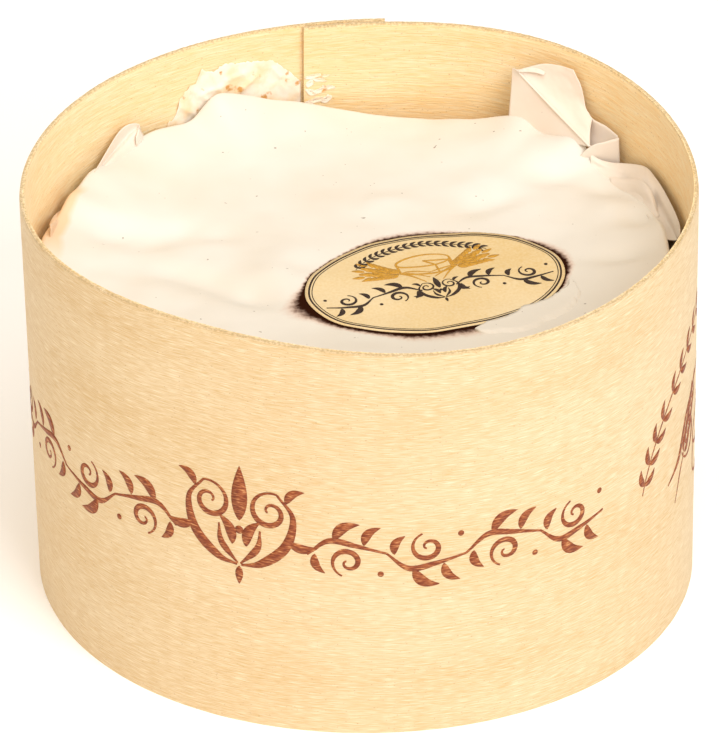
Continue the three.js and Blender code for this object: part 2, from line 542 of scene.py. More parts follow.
@dataclass(frozen=True)
class WaxedPaper(Finish):
    """Thin white paper, waxed: smooth, faintly shiny, creamy where it is doubled, with painted shade in
    its colour.

    The paper is coloured a soft dark brown all round the label's edge.
    """

    # The loose flaps' copy of the paper is paler than these colours: painted light on the flaps.
    white: str = "#e4e0d8"
    cream: str = "#dfd8cc"
    # Colours of the painted shade: in front, and low down and at the left.
    front_shade: str = "#d2cabc"
    warm_shade: str = "#ecbd84"
    stain: str = "#2c140b"
    rust: str = "#b8764e"
    speck: str = "#6d5a48"
    halo: bool = False
    glow: float = 0.0
    # How wide the brown edge is, in millimetres, at shares of a turn that start at the left tip.
    edge_widths: tuple = (
        (0.0, 3.2), (0.035, 2.5), (0.075, 1.2), (0.14, 1.0), (0.19, 1.6), (0.25, 1.9), (0.31, 1.6),
        (0.36, 0.6), (0.43, 0.5), (0.49, 1.2), (0.55, 1.5), (0.6, 0.6), (0.65, 0.3), (0.7, 0.9),
        (0.75, 1.2), (0.81, 0.7), (0.87, 0.45), (0.93, 0.5), (0.965, 1.4), (1.0, 3.2),
    )

    def wire(self, tree: Tree, shader: Node) -> None:
        """Wire the paper's tone and painted shade, its fine relief and, on the wrap's top, the brown edge
        round the label.
        """
        place = add_node(tree, PLACE).outputs["Object"]
        tints = [(patches(tree, place, 70.0, 2.0, (0.35, 0.7)), self.cream), *self.painted_shade(tree, place)]
        tints.append((patches(tree, place, 1700.0, 0.0, (0.868, 0.878), 0.7), self.speck))
        if self.halo:
            tints += self.brown_edge(tree, shader, place)
        fine = add_node(tree, NOISE, {"Vector": place, "Scale": 260.0, "Detail": 3.0})
        dress(tree, shader, layered(tree, self.white, tints), fine, 0.06, 0.5)
        if self.glow:
            lit = add_node(tree, "ShaderNodeBsdfTranslucent", {"Color": linear(self.cream)})
            both = add_node(tree, "ShaderNodeMixShader", {0: self.glow, 1: shader, 2: lit})
            tree.links.new(both.outputs[0], tree.nodes["Material Output"].inputs["Surface"])

    def brown_edge(self, tree: Tree, shader: Node, place: Socket) -> list[tuple]:
        """Find the soft dark brown edge round the label, and lower the paper's shine there.

        Args:
            tree: The material's tree.
            shader: The material's shader.
            place: Object coordinates in metres.

        Returns:
            How much of each brown shows, and its colour.
        """
        oval = OvalLabel()
        centre = (*(oval.centre * MM), PLATEAU * MM)
        moved = add_node(tree, VECTOR, {0: place, 1: centre}, "SUBTRACT")
        back = {"Vector": moved, "Angle": -math.radians(oval.turn)}
        turned = add_node(tree, "ShaderNodeVectorRotate", back, rotation_type="Z_AXIS")
        flat = add_node(tree, VECTOR, {0: turned, 1: (1 / MM, 1 / MM, 0.0)}, "MULTIPLY")
        unit = (1 / oval.half_long, 1 / oval.half_short, 0.0)
        scaled = add_node(tree, VECTOR, {0: flat, 1: unit}, "MULTIPLY")
        reach = add_node(tree, VECTOR, {0: flat}, "LENGTH").outputs["Value"]
        share = add_node(tree, VECTOR, {0: scaled}, "LENGTH").outputs["Value"]
        edge = add_node(tree, MATH, {0: reach, 1: share}, "DIVIDE")
        beyond = add_node(tree, MATH, {0: reach, 1: edge}, "SUBTRACT")
        axes = add_node(tree, SPLIT, {0: scaled}).outputs
        angle = add_node(tree, MATH, {0: axes[1], 1: axes[0]}, "ARCTAN2")
        around = add_node(tree, MATH, {0: angle, 1: 0.5 / math.pi, 2: 0.5}, "MULTIPLY_ADD")
        curve = add_node(tree, "ShaderNodeFloatCurve", {"Value": around})
        line = curve.mapping.curves[0]
        widest = max(width for _, width in self.edge_widths)
        line.points[0].location = (0.0, self.edge_widths[0][1] / widest)
        line.points[1].location = (1.0, self.edge_widths[-1][1] / widest)
        for turn, width in self.edge_widths[1:-1]:
            line.points.new(turn, width / widest)
        curve.mapping.update()
        width = add_node(tree, MATH, {0: curve, 1: widest}, "MULTIPLY")
        ragged = -0.3
        for scale, detail, height, middle in ((1500.0, 3.0, 1.3, 0.65), (420.0, 2.0, 0.6, 0.0)):
            tufts = add_node(tree, NOISE, {"Vector": place, "Scale": scale, "Detail": detail})
            tufts = add_node(tree, MATH, {0: tufts, 1: height, 2: -middle}, "MULTIPLY_ADD")
            ragged = add_node(tree, MATH, {0: tufts, 1: ragged}, "ADD")
        spread = add_node(tree, MATH, {0: width, 1: 0.3, 2: 0.35}, "MULTIPLY_ADD")
        outer = add_node(tree, MATH, {0: ragged, 1: spread, 2: width}, "MULTIPLY_ADD")
        inner = add_node(tree, MATH, {0: width, 1: -0.7, 2: outer}, "MULTIPLY_ADD")
        haze = add_node(tree, MATH, {0: width, 1: 0.55, 2: outer}, "MULTIPLY_ADD")
        tints = []
        for far, strength, tint in ((haze, 0.6, self.rust), (outer, 1.0, self.stain)):
            limits = {"From Min": inner, "From Max": far, "To Min": strength, "To Max": 0.0}
            fade = add_node(tree, RANGE, {"Value": beyond, **limits}, interpolation_type="SMOOTHSTEP")
            tints.append((fade, tint))
        shine = add_node(tree, MATH, {0: fade, 1: -0.5, 2: 0.5}, "MULTIPLY_ADD")
        tree.links.new(shine.outputs[0], shader.inputs["Specular IOR Level"])
        return tints

    def painted_shade(self, tree: Tree, place: Socket) -> list[tuple]:
        """Paint shade into the paper's colour: creamier towards the front, which the front wall shades,
        and warm tan low down and at the left, for shade and the warm light thrown back by the wood.

        Args:
            tree: The material's tree.
            place: Object coordinates in metres.

        Returns:
            How much of each tint shows, and its colour.
        """
        moved = add_node(tree, VECTOR, {0: place, 1: (*(AXIS * MM), 0.0)}, "SUBTRACT")
        plan = add_node(tree, VECTOR, {0: moved, 1: (1 / MM, 1 / MM, 0.0)}, "MULTIPLY")
        axes = add_node(tree, SPLIT, {0: plan}).outputs
        height = add_node(tree, SPLIT, {0: place}).outputs["Z"]
        # Painted shade: the paper darkens towards the front, where the front wall shades it.
        front = add_node(tree, VECTOR, {0: plan, 1: (0.5, -0.86, 0.0)}, "DOT_PRODUCT")
        limits = {"From Min": -12.0, "From Max": 30.0, "To Max": 0.9}
        front = {"Value": front.outputs["Value"], **limits}
        front_shade = add_node(tree, RANGE, front, interpolation_type="SMOOTHSTEP")
        # Painted shade: a warm patch at the left, where the paper is shaded and lit by light thrown back
        # from the wood.
        left = add_node(tree, MATH, {0: axes[0], 1: -1.0}, "MULTIPLY")
        angle = add_node(tree, MATH, {0: axes[1], 1: left}, "ARCTAN2")
        soft = add_node(tree, NOISE, {"Vector": place, "Scale": 160.0, "Detail": 2.0})
        reach = add_node(tree, VECTOR, {0: plan}, "LENGTH").outputs["Value"]
        reach = add_node(tree, MATH, {0: soft, 1: 2.4, 2: reach}, "MULTIPLY_ADD")
        patch = 0.65
        for value, low, high in ((reach, 42.3, 43.2), (angle, 0.41, 0.36), (angle, -0.12, 0.12)):
            part = add_node(tree, RANGE, {"Value": value, "From Min": low, "From Max": high})
            patch = add_node(tree, MATH, {0: part, 1: patch}, "MULTIPLY")
        # Painted shade: warmer low down, where the paper is shaded and lit by light thrown back from the
        # wood.
        low = add_node(tree, RANGE, {"Value": height, "From Min": 45.0 * MM, "From Max": 40.5 * MM})
        return [(front_shade, self.front_shade), (patch, self.warm_shade), (low, self.warm_shade)]


@dataclass(frozen=True)
class StainedFilm(Finish):
    """Torn waxed paper stuck to the wall: a milky film over the wood, with tan stains of whey."""

    film: str = "#fff3e2"
    blush: str = "#fadfb6"
    stain: str = "#d79d58"

    def wire(self, tree: Tree, shader: Node) -> None:
        """Wire the film's blush and its stains."""
        place = add_node(tree, PLACE).outputs["Object"]
        clouds = add_node(tree, NOISE, {"Vector": place, "Scale": 300.0, "Detail": 3.0})
        blush = add_node(tree, RANGE, {"Value": clouds, "From Min": 0.45, "From Max": 0.66})
        spots = patches(tree, place, 620.0, 4.0, (0.63, 0.72))
        film = layered(tree, self.film, [(blush, self.blush), (spots, self.stain)])
        dress(tree, shader, film, clouds, 0.5)


@dataclass(frozen=True)
class CoatedPaper(Finish):
    """Coated label paper with a fine printing screen: cream gold, smooth and slightly glossy."""

    light: str = "#e0cba2"
    gold: str = "#d3b478"

    def wire(self, tree: Tree, shader: Node) -> None:
        """Wire the printed ground's soft tone and its screen of dots."""
        place = add_node(tree, PLACE).outputs["Object"]
        clouds = add_node(tree, NOISE, {"Vector": place, "Scale": 60.0, "Detail": 1.0})
        # A print screen is finer than 0.1 mm; it is drawn at about 0.35 mm so that it shows.
        screen = add_node(tree, NOISE, {"Vector": place, "Scale": 2800.0, "Detail": 0.0})
        tone = add_node(tree, MATH, {0: screen, 1: 0.35, 2: clouds}, "MULTIPLY_ADD")
        share = add_node(tree, RANGE, {"Value": tone, "From Min": 0.45, "From Max": 0.95})
        dress(tree, shader, layered(tree, self.light, [(share, self.gold)]))


@dataclass(frozen=True)
class PrintedInk(Finish):
    """Offset ink on coated paper: an even, slightly glossy film of one colour."""

    colour: str = "#22120a"
    mottle: str = "#321c10"

    def wire(self, tree: Tree, shader: Node) -> None:
        """Wire the ink's slight mottle."""
        place = add_node(tree, PLACE).outputs["Object"]
        clouds = add_node(tree, NOISE, {"Vector": place, "Scale": 2200.0, "Detail": 1.0})
        dress(tree, shader, layered(tree, self.colour, [(clouds, self.mottle)]))


@dataclass(frozen=True)
class BloomyRind(Finish):
    """White mould rind: a velvety ivory skin, with straw-coloured paste showing in its hollows."""

    bloom: str = "#faf6ea"
    paste: str = "#e9d9ae"
    sheen: float = 0.3

    def wire(self, tree: Tree, shader: Node) -> None:
        """Wire the bloom's thin places and its nap."""
        place = add_node(tree, PLACE).outputs["Object"]
        thin = patches(tree, place, 130.0, 4.0, (0.56, 0.72))
        nap = add_node(tree, NOISE, {"Vector": place, "Scale": 1500.0, "Detail": 3.0})
        dress(tree, shader, layered(tree, self.bloom, [(thin, self.paste)]), nap, 0.15)
        shader.inputs["Sheen Weight"].default_value = self.sheen


@dataclass(frozen=True)
class StudioFloor(Finish):
    """A matt white sweep of painted board."""

    colour: str = "#fcfcfc"
    glow: float = 0.08

    def wire(self, tree: Tree, shader: Node) -> None:
        """Set the floor's even colour, and the little light of its own that keeps its far end white."""
        shader.inputs["Base Color"].default_value = linear(self.colour)
        shader.inputs["Emission Color"].default_value = linear(self.colour)
        shader.inputs["Emission Strength"].default_value = self.glow


# ---- the veneer's shape -----------------------------------------------------------------------


@dataclass(frozen=True)
class VeneerBend:
    """How a flat strip of veneer is bent into the band, as a geometry node group.

    A place on the strip is its travel in degrees from the strip's inner end, its depth behind the
    outer face and its height. Each wave is (lobes, amplitude, direction) of the out-of-round rim.
    """

    radius: float = 45.5
    veneer: float = 0.8
    glue: float = 0.15
    seam: float = 101.5
    lap: float = 15.0
    ramp: float = 38.0
    ripple: float = 0.12
    rim_waves: tuple = ((2, 0.3, 12.0), (3, 1.05, 177.0), (4, 0.24, 103.0), (5, 0.33, -47.0))
    foot_waves: tuple = ((3, 0.35, -86.0),)

    @property
    def height(self) -> float:
        """The band's height."""
        return float(BAND_HIGH[2])

    def travel(self, azimuth: float) -> float:
        """The travel at which the strip's outermost layer passes an azimuth."""
        around = (self.seam - azimuth) % 360
        return around + 360 if around < self.lap else around

    def group(self) -> Tree:
        """Build the node group that turns travel, depth and height into a position in metres."""
        inputs = {"Travel": "Float", "Depth": "Float", "Height": "Float"}
        tree, entry = start_tree("veneer_bend", inputs, ("Position", "Vector"))
        degrees = add_node(tree, MATH, {0: self.seam, 1: entry["Travel"]}, "SUBTRACT")
        angle = add_node(tree, MATH, {0: degrees}, "RADIANS")
        rounds = []
        for waves in (self.foot_waves, self.rim_waves):
            total = self.radius
            for lobes, amplitude, direction in waves:
                terms = {0: angle, 1: lobes, 2: -math.radians(direction)}
                phase = add_node(tree, MATH, terms, "MULTIPLY_ADD")
                wave = add_node(tree, MATH, {0: phase}, "COSINE")
                total = add_node(tree, MATH, {0: wave, 1: amplitude, 2: total}, "MULTIPLY_ADD")
            rounds.append(total)
        limits = {"From Max": self.height, "To Min": rounds[0], "To Max": rounds[1]}
        outside = add_node(tree, RANGE, {"Value": entry["Height"], **limits})
        half = (self.veneer + self.glue) / 2
        for start, low, high in ((self.lap, -half, 0.0), (360 - self.ramp, 0.0, half)):
            limits = {"From Min": start, "From Max": start + self.ramp, "To Min": low, "To Max": high}
            shift = {"Value": entry["Travel"], **limits}
            shift = add_node(tree, RANGE, shift, interpolation_type="SMOOTHSTEP")
            outside = add_node(tree, MATH, {0: outside, 1: shift}, "ADD")
        per_degree = math.radians(self.radius)
        arc = add_node(tree, MATH, {0: entry["Travel"], 1: per_degree}, "MULTIPLY")
        flat_place = add_node(tree, JOIN, {0: arc, 1: entry["Height"]})
        # A ripple in the wall is about 11 mm long and 20 mm high.
        spread = add_node(tree, VECTOR, {0: flat_place, 1: (0.09, 0.05, 0.0)}, "MULTIPLY")
        ripple = add_node(tree, NOISE, {"Vector": spread, "Scale": 1.0, "Detail": 1.0})
        terms = {0: ripple, 1: self.ripple, 2: entry["Depth"]}
        depth = add_node(tree, MATH, terms, "MULTIPLY_ADD")
        face = add_node(tree, MATH, {0: outside, 1: depth}, "SUBTRACT")
        flat = []
        for operation in ("COSINE", "SINE"):
            part = add_node(tree, MATH, {0: angle}, operation)
            flat.append(add_node(tree, MATH, {0: part, 1: face}, "MULTIPLY"))
        place = add_node(tree, JOIN, {0: flat[0], 1: flat[1], 2: entry["Height"]})
        terms = {0: place, 1: (MM,) * 3, 2: (*(AXIS * MM), 0.0)}
        metres = add_node(tree, VECTOR, terms, "MULTIPLY_ADD")
        add_node(tree, "NodeGroupOutput", {"Position": metres})
        return tree


@dataclass(frozen=True)
class WallRadius:
    """The band's inside radius, by the same rule as its bend."""

    bend: VeneerBend

    def inside(self, azimuth: Array, height: Array) -> Array:
        """Find the radius of the innermost layer's inner face."""
        bend = self.bend
        travel = (bend.seam - azimuth) % 360
        sums = []
        for waves in (bend.foot_waves, bend.rim_waves):
            sums.append(sum(a * np.cos(np.radians(k * azimuth - d)) for k, a, d in waves))
        share = np.clip(height / bend.height, 0, 1)
        inward, outward = (
            np.clip((travel - start) / bend.ramp, 0, 1) for start in (bend.lap, 360 - bend.ramp)
        )
        ease = outward**2 * (3 - 2 * outward) - 1 + inward**2 * (3 - 2 * inward)
        shift = (bend.veneer + bend.glue) / 2 * ease
        return bend.radius + sums[0] + (sums[1] - sums[0]) * share + shift - bend.veneer


@dataclass
class VeneerBox:
    """The box: one lapped strip of veneer, its rough rim, and the disc that closes its foot."""

    bend: VeneerBend
    steps: int = 1400
    rows: int = 30
    crowding: float = 2.2
    rim_start: float = 0.985
    rim_round: float = 0.22
    rim_wear: float = 0.22

    def __post_init__(self) -> None:
        """Make the node group that every piece on the wall shares."""
        self.bend_group = self.bend.group()

    def band_tree(self) -> Tree:
        """Build the tree that makes the strip flat, wears its rim and bends it."""
        inputs = {
            "Geometry": "Geometry", "Steps": "Int", "Rows": "Int", "Height": "Float", "Veneer": "Float",
            "Lap": "Float", "Rim wear": "Float", "Wood": "Material",
        }
        tree, entry = start_tree("bent_strip", inputs, ("Geometry", "Geometry"))
        counts = {"Vertices X": entry["Steps"], "Vertices Y": 4, "Vertices Z": entry["Rows"]}
        strip = add_node(tree, "GeometryNodeMeshCube", {"Size": (1, 1, 1), **counts})
        middle = add_node(tree, "GeometryNodeInputPosition")
        corner = add_node(tree, VECTOR, {0: middle, 1: (0.5,) * 3}, "ADD")
        along, through, up = add_node(tree, SPLIT, {0: corner}).outputs
        whole = add_node(tree, MATH, {0: entry["Lap"], 1: 360.0}, "ADD")
        travel = add_node(tree, MATH, {0: along, 1: whole}, "MULTIPLY")
        # Rows crowd towards the rim, where the worn edge needs them.
        below = add_node(tree, MATH, {0: 1.0, 1: up}, "SUBTRACT", use_clamp=True)
        crowded = add_node(tree, MATH, {0: below, 1: self.crowding}, "POWER")
        level = add_node(tree, MATH, {0: 1.0, 1: crowded}, "SUBTRACT")
        height = add_node(tree, MATH, {0: level, 1: entry["Height"]}, "MULTIPLY")
        inward = add_node(tree, MATH, {0: 1.0, 1: through}, "SUBTRACT")
        depth = add_node(tree, MATH, {0: inward, 1: entry["Veneer"]}, "MULTIPLY")
        arc = add_node(tree, MATH, {0: travel, 1: math.radians(self.bend.radius)}, "MULTIPLY")
        place = add_node(tree, JOIN, {0: arc, 1: height, 2: depth})
        fibres = add_node(tree, VECTOR, {0: place, 1: (0.9, 0.0, 4.0)}, "MULTIPLY")
        torn = add_node(tree, NOISE, {"Vector": fibres, "Scale": 1.0, "Detail": 3.0})
        limits = {"Value": level, "From Min": self.rim_start}
        near_rim = add_node(tree, RANGE, limits, interpolation_type="SMOOTHSTEP")
        wear = add_node(tree, MATH, {0: torn, 1: near_rim}, "MULTIPLY")
        wear = add_node(tree, MATH, {0: wear, 1: entry["Rim wear"]}, "MULTIPLY")
        worn = add_node(tree, MATH, {0: height, 1: wear}, "SUBTRACT")
        rounded = add_node(tree, MATH, {0: through, 1: 0.5}, "SUBTRACT")
        rounded = add_node(tree, MATH, {0: rounded, 1: near_rim}, "MULTIPLY")
        sunk = add_node(tree, MATH, {0: rounded, 1: self.rim_round, 2: depth}, "MULTIPLY_ADD")
        flat = {"Travel": travel, "Depth": sunk, "Height": worn}
        bent = add_node(tree, "GeometryNodeGroup", flat, node_tree=self.bend_group)
        end_tree(tree, strip, place, bent, entry["Wood"])
        return tree

    def build(self) -> None:
        """Build the band and dress the base."""
        wood = PeeledPoplar("peeled_poplar", roughness=0.55).material()
        values = {
            "Steps": self.steps, "Rows": self.rows, "Height": self.bend.height,
            "Veneer": self.bend.veneer, "Lap": self.bend.lap, "Rim wear": self.rim_wear, "Wood": wood,
        }
        band = run_tree("poplar_band", self.band_tree(), bpy.data.meshes.new("strip"), values, wood)
        band.data.shade_smooth()
        band.data.set_sharp_from_angle(angle=math.radians(50))
        hand_in(band, "box_band")
        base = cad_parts["box_base"]
        base.data.materials.clear()
        base.data.materials.append(
            PeeledPoplar("peeled_poplar_base", roughness=0.6, source=GrainSource.OBJECT).material()
        )


# ---- printed ornament -------------------------------------------------------------------------


@dataclass(frozen=True)
class Stroke:
    """One stroke of a pen: points on the flat, and the pen's half width at each."""

    points: Array
    widths: Array

    def placed(self, origin: tuple[float, float], turn: float = 0.0, size: float = 1.0) -> "Stroke":
        """Return the stroke scaled, turned and moved."""
        c, s = math.cos(math.radians(turn)) * size, math.sin(math.radians(turn)) * size
        return Stroke(self.points @ np.array([[c, s], [-s, c]]) + np.array(origin), self.widths * size)

    def mirrored(self) -> "Stroke":
        """Return the stroke's mirror image across the upright."""
        return Stroke(self.points * np.array([-1, 1]), self.widths)


class Pen:
    """The strokes that a plain leaf-and-scroll ornament is made of."""

    @staticmethod
    def swell(count: int, thin: float, thick: float, peak: float = 0.5) -> Array:
        """Half widths that swell from thin to thick and back, thickest at the peak."""
        share = np.linspace(0, 1, count)
        rise = np.where(share < peak, share / peak, (1 - share) / (1 - peak))
        return thin + (thick - thin) * np.sin(rise * math.pi / 2) ** 2

    @staticmethod
    def scroll(radius: float, turns: float, thin: float, thick: float, start: float = 0.0) -> Stroke:
        """A spiral that winds inwards, anticlockwise, from its outer end at a start angle."""
        share = np.linspace(0, 1, 60)
        reach = radius * (1 - share) ** 0.85 + 0.1 * radius * share
        turn = np.radians(start) + share * turns * 2 * math.pi
        points = np.stack([reach * np.cos(turn), reach * np.sin(turn)], axis=1)
        return Stroke(points, Pen.swell(60, thin, thick, 0.35))

    @staticmethod
    def leaf(length: float, width: float, bow: float = 0.15) -> Stroke:
        """A pointed leaf that grows along +X from the origin."""
        share = np.linspace(0, 1, 18)
        points = np.stack([share * length, bow * length * np.sin(share * math.pi)], axis=1)
        return Stroke(points, 0.02 + width / 2 * np.sin(share**0.8 * math.pi) ** 0.9)

    @staticmethod
    def sweep(knots: list, thin: float, thick: float, peak: float = 0.5) -> Stroke:
        """A smooth line through knots."""
        points = spline(np.array(knots, float), 16 * len(knots))
        return Stroke(points, Pen.swell(len(points), thin, thick, peak))

    @staticmethod
    def dot(radius: float) -> Stroke:
        """A round berry at the origin."""
        share = np.linspace(-1, 1, 12)
        points = np.stack([share * radius, 0 * share], axis=1)
        return Stroke(points, radius * np.sqrt(np.clip(1 - share**2, 0.003, 1)))


class Ornament:
    """Motifs made of strokes. None of them is a letter or a mark of any maker."""

    @staticmethod
    def palmette() -> list[Stroke]:
        """A tall leaf between two pairs of scrolls, 17 wide and 17 tall, growing up from the origin."""
        half = [
            Pen.sweep([(0.3, 0.4), (3.2, 1.2), (6.6, 4.4), (7.6, 9.0), (5.4, 12.2)], 0.18, 0.75, 0.4),
            Pen.scroll(3.0, 1.35, 0.16, 0.42, start=70).placed((4.4, 9.4)),
            Pen.sweep([(0.2, 0.6), (2.6, 3.4), (3.0, 6.2)], 0.15, 0.5, 0.4),
            Pen.leaf(4.6, 1.5).placed((1.0, 3.4), 64),
            Pen.leaf(4.2, 1.4, -0.15).placed((6.9, 5.2), -4),
            Pen.leaf(3.4, 1.2, 0.2).placed((6.6, 11.0), 40),
        ]
        middle = [
            Pen.leaf(8.4, 2.3, 0.0).placed((0.0, 7.2), 90),
            Pen.dot(0.62).placed((0.0, 5.8)),
            Pen.leaf(2.8, 1.1, 0.0).placed((0.0, 0.2), -90),
        ]
        return middle + half + [stroke.mirrored() for stroke in half]

    @staticmethod
    def vine(waves: int, pitch: float = 10.6, rise: float = 2.1) -> list[Stroke]:
        """A waving stem that runs along +X, with a scroll and leaves in each of its hollows."""
        strokes = []
        for index in range(waves):
            side = 1 if index % 2 == 0 else -1
            x = index * pitch
            strokes.append(
                Pen.sweep(
                    [
                        (x, -side * rise * 0.2), (x + pitch * 0.28, side * rise * 0.95),
                        (x + pitch * 0.62, side * rise * 0.7), (x + pitch, side * rise * 0.2),
                    ],
                    0.17, 0.46, 0.45,
                )
            )
            curl = Pen.scroll(2.3, 1.3, 0.14, 0.4, start=110)
            curl = Stroke(curl.points * np.array([1, -side]), curl.widths)
            strokes.append(curl.placed((x + pitch * 0.52, -side * rise * 0.55)))
            for length, width, bow, along, up, lean in (
                (4.4, 1.5, 0.2, 0.34, 1.0, 38),
                (3.6, 1.25, 0.2, 0.72, 0.75, 52),
                (3.2, 1.2, -0.2, 0.1, -0.1, -64),
            ):
                leaf = Pen.leaf(length, width, bow * side)
                strokes.append(leaf.placed((x + pitch * along, side * rise * up), lean * side))
            strokes.append(Pen.dot(0.42).placed((x + pitch * 0.93, -side * rise * 1.35)))
        return strokes

    @staticmethod
    def wheat_ear(grains: int, size: float) -> list[Stroke]:
        """An ear of wheat that grows along +X: paired grains, a tip, and a stalk behind."""
        stalk = [(-4.2 * size, -0.4 * size), (-1.6 * size, 0.1), (0, 0)]
        strokes = [Pen.sweep(stalk, 0.07 * size, 0.13 * size)]
        for index in range(grains):
            for side in (1, -1):
                grain_stroke = Pen.leaf(1.55 * size, 0.62 * size, 0.1 * side)
                strokes.append(grain_stroke.placed((index * 0.72 * size, 0.12 * side * size), 30 * side))
        strokes.append(Pen.leaf(1.7 * size, 0.6 * size, 0.0).placed((grains * 0.72 * size, 0)))
        return strokes

    @staticmethod
    def laurel(
        half_wide: float, half_tall: float, first: float, last: float, pairs: int, leaf: float = 3.0
    ) -> list[Stroke]:
        """Leaves in pairs along an arch, from one angle of its ellipse to another."""
        turns = np.radians(np.linspace(first, last, 40))
        arch = np.stack([half_wide * np.cos(turns), half_tall * np.sin(turns)], axis=1)
        strokes = [Stroke(arch, Pen.swell(40, 0.04 * leaf, 0.065 * leaf))]
        for index in range(pairs):
            share = (index + 0.5) / pairs
            place = arch[int(share * 38)]
            ahead = arch[int(share * 38) + 1] - place
            way = math.degrees(math.atan2(ahead[1], ahead[0]))
            for side in (1, -1):
                stroke = Pen.leaf(leaf, 0.36 * leaf, 0.15 * side)
                strokes.append(stroke.placed(tuple(place), way + 38 * side))
        return strokes

    @staticmethod
    def wheel_and_wedge(size: float) -> list[Stroke]:
        """A plain line drawing of a round cheese with a wedge scored in it."""
        wide, deep, tall, line = 4.2, 1.6, 2.3, 0.09

        def rim(degrees: float, drop: float = 0.0) -> tuple[float, float]:
            """A point on the round's top edge, or as far under it as a drop says."""
            turn = math.radians(degrees)
            return wide * math.cos(turn), 1.4 + deep * math.sin(turn) - drop

        strokes = [
            Pen.sweep([rim(a) for a in range(0, 361, 15)], line, 1.5 * line),
            Pen.sweep([rim(a, tall) for a in range(180, 361, 15)], line, 1.5 * line),
        ]
        for degrees in (-22, -68):
            strokes.append(Pen.sweep([(0, 1.4), rim(degrees)], line, 1.3 * line))
        for degrees in (0, 180, -22, -68):
            strokes.append(Pen.sweep([rim(degrees), rim(degrees, tall)], line, 1.3 * line))
        return [stroke.placed((0, 0), 0, size) for stroke in strokes]


class Surface(Enum):
    """What a printed ornament lies on."""

    WALL = "wall"
    LABEL = "label"


@dataclass
class Printer:
    """Turns strokes into thin ribbons of ink with geometry nodes, and wraps those for the wall."""

    surface: Surface
    bend: VeneerBend | None = None
    bend_group: Tree | None = None
    film: float = 0.02
    spacing: float = 10.0
    layers: int = 7
    layer_step: float = 0.003

    def tree(self) -> Tree:
        """Build the tree: flat ribbons along the strokes, bent round the wall if they are on it."""
        inputs = {"Geometry": "Geometry", "Film": "Float", "Ink": "Material"}
        tree, entry = start_tree("ribbons_" + self.surface.value, inputs, ("Geometry", "Geometry"))
        upright = add_node(tree, "GeometryNodeSetCurveNormal", {"Curve": entry["Geometry"]}, mode="Z_UP")
        profile = add_node(tree, "GeometryNodeCurvePrimitiveQuadrilateral", {"Width": 2.0, "Height": 0.2})
        pen = {"Profile Curve": profile, "Scale": add_node(tree, "GeometryNodeInputRadius")}
        ribbon = add_node(tree, "GeometryNodeCurveToMesh", {"Curve": upright, **pen, "Fill Caps": True})
        x, y, z = add_node(tree, SPLIT, {0: add_node(tree, "GeometryNodeInputPosition")}).outputs
        # Strokes arrive stacked, one spacing apart, which tells where one crosses another.
        stack = add_node(tree, MATH, {0: z, 1: 1 / self.spacing}, "MULTIPLY")
        layer = add_node(tree, MATH, {0: stack}, "ROUND")
        face = add_node(tree, MATH, {0: stack, 1: layer}, "GREATER_THAN")
        lift = add_node(tree, MATH, {0: face, 1: entry["Film"]}, "MULTIPLY")
        lift = add_node(tree, MATH, {0: layer, 1: self.layer_step, 2: lift}, "MULTIPLY_ADD")
        place = add_node(tree, JOIN, {0: x, 1: y, 2: lift})
        target = place
        if self.surface is Surface.WALL:
            turn = 1 / math.radians(self.bend.radius)
            travel = add_node(tree, MATH, {0: x, 1: turn}, "MULTIPLY")
            depth = add_node(tree, MATH, {0: 0.0, 1: lift}, "SUBTRACT")
            flat = {"Travel": travel, "Depth": depth, "Height": y}
            target = add_node(tree, "GeometryNodeGroup", flat, node_tree=self.bend_group)
        end_tree(tree, ribbon, place, target, entry["Ink"])
        return tree

    def print(self, name: str, strokes: list[Stroke], ink: Material) -> Piece:
        """Print strokes as one piece.

        Args:
            name: The piece's name.
            strokes: The strokes, in millimetres on the flat.
            ink: The ink's material.

        Returns:
            The ribbons, as one mesh; on a label they still lie on the flat, in millimetres.
        """
        curve = bpy.data.curves.new(name, "CURVE")
        curve.dimensions = "3D"
        for index, stroke in enumerate(strokes):
            line = curve.splines.new("POLY")
            line.points.add(len(stroke.points) - 1)
            flat = np.zeros((len(stroke.points), 4))
            flat[:, :2] = stroke.points
            flat[:, 2] = self.spacing * (index % self.layers)
            line.points.foreach_set("co", flat.ravel())
            line.points.foreach_set("radius", stroke.widths)
            line.points.foreach_set("tilt", np.zeros(len(stroke.points)))
        return run_tree(name, self.tree(), curve, {"Film": self.film, "Ink": ink}, ink)


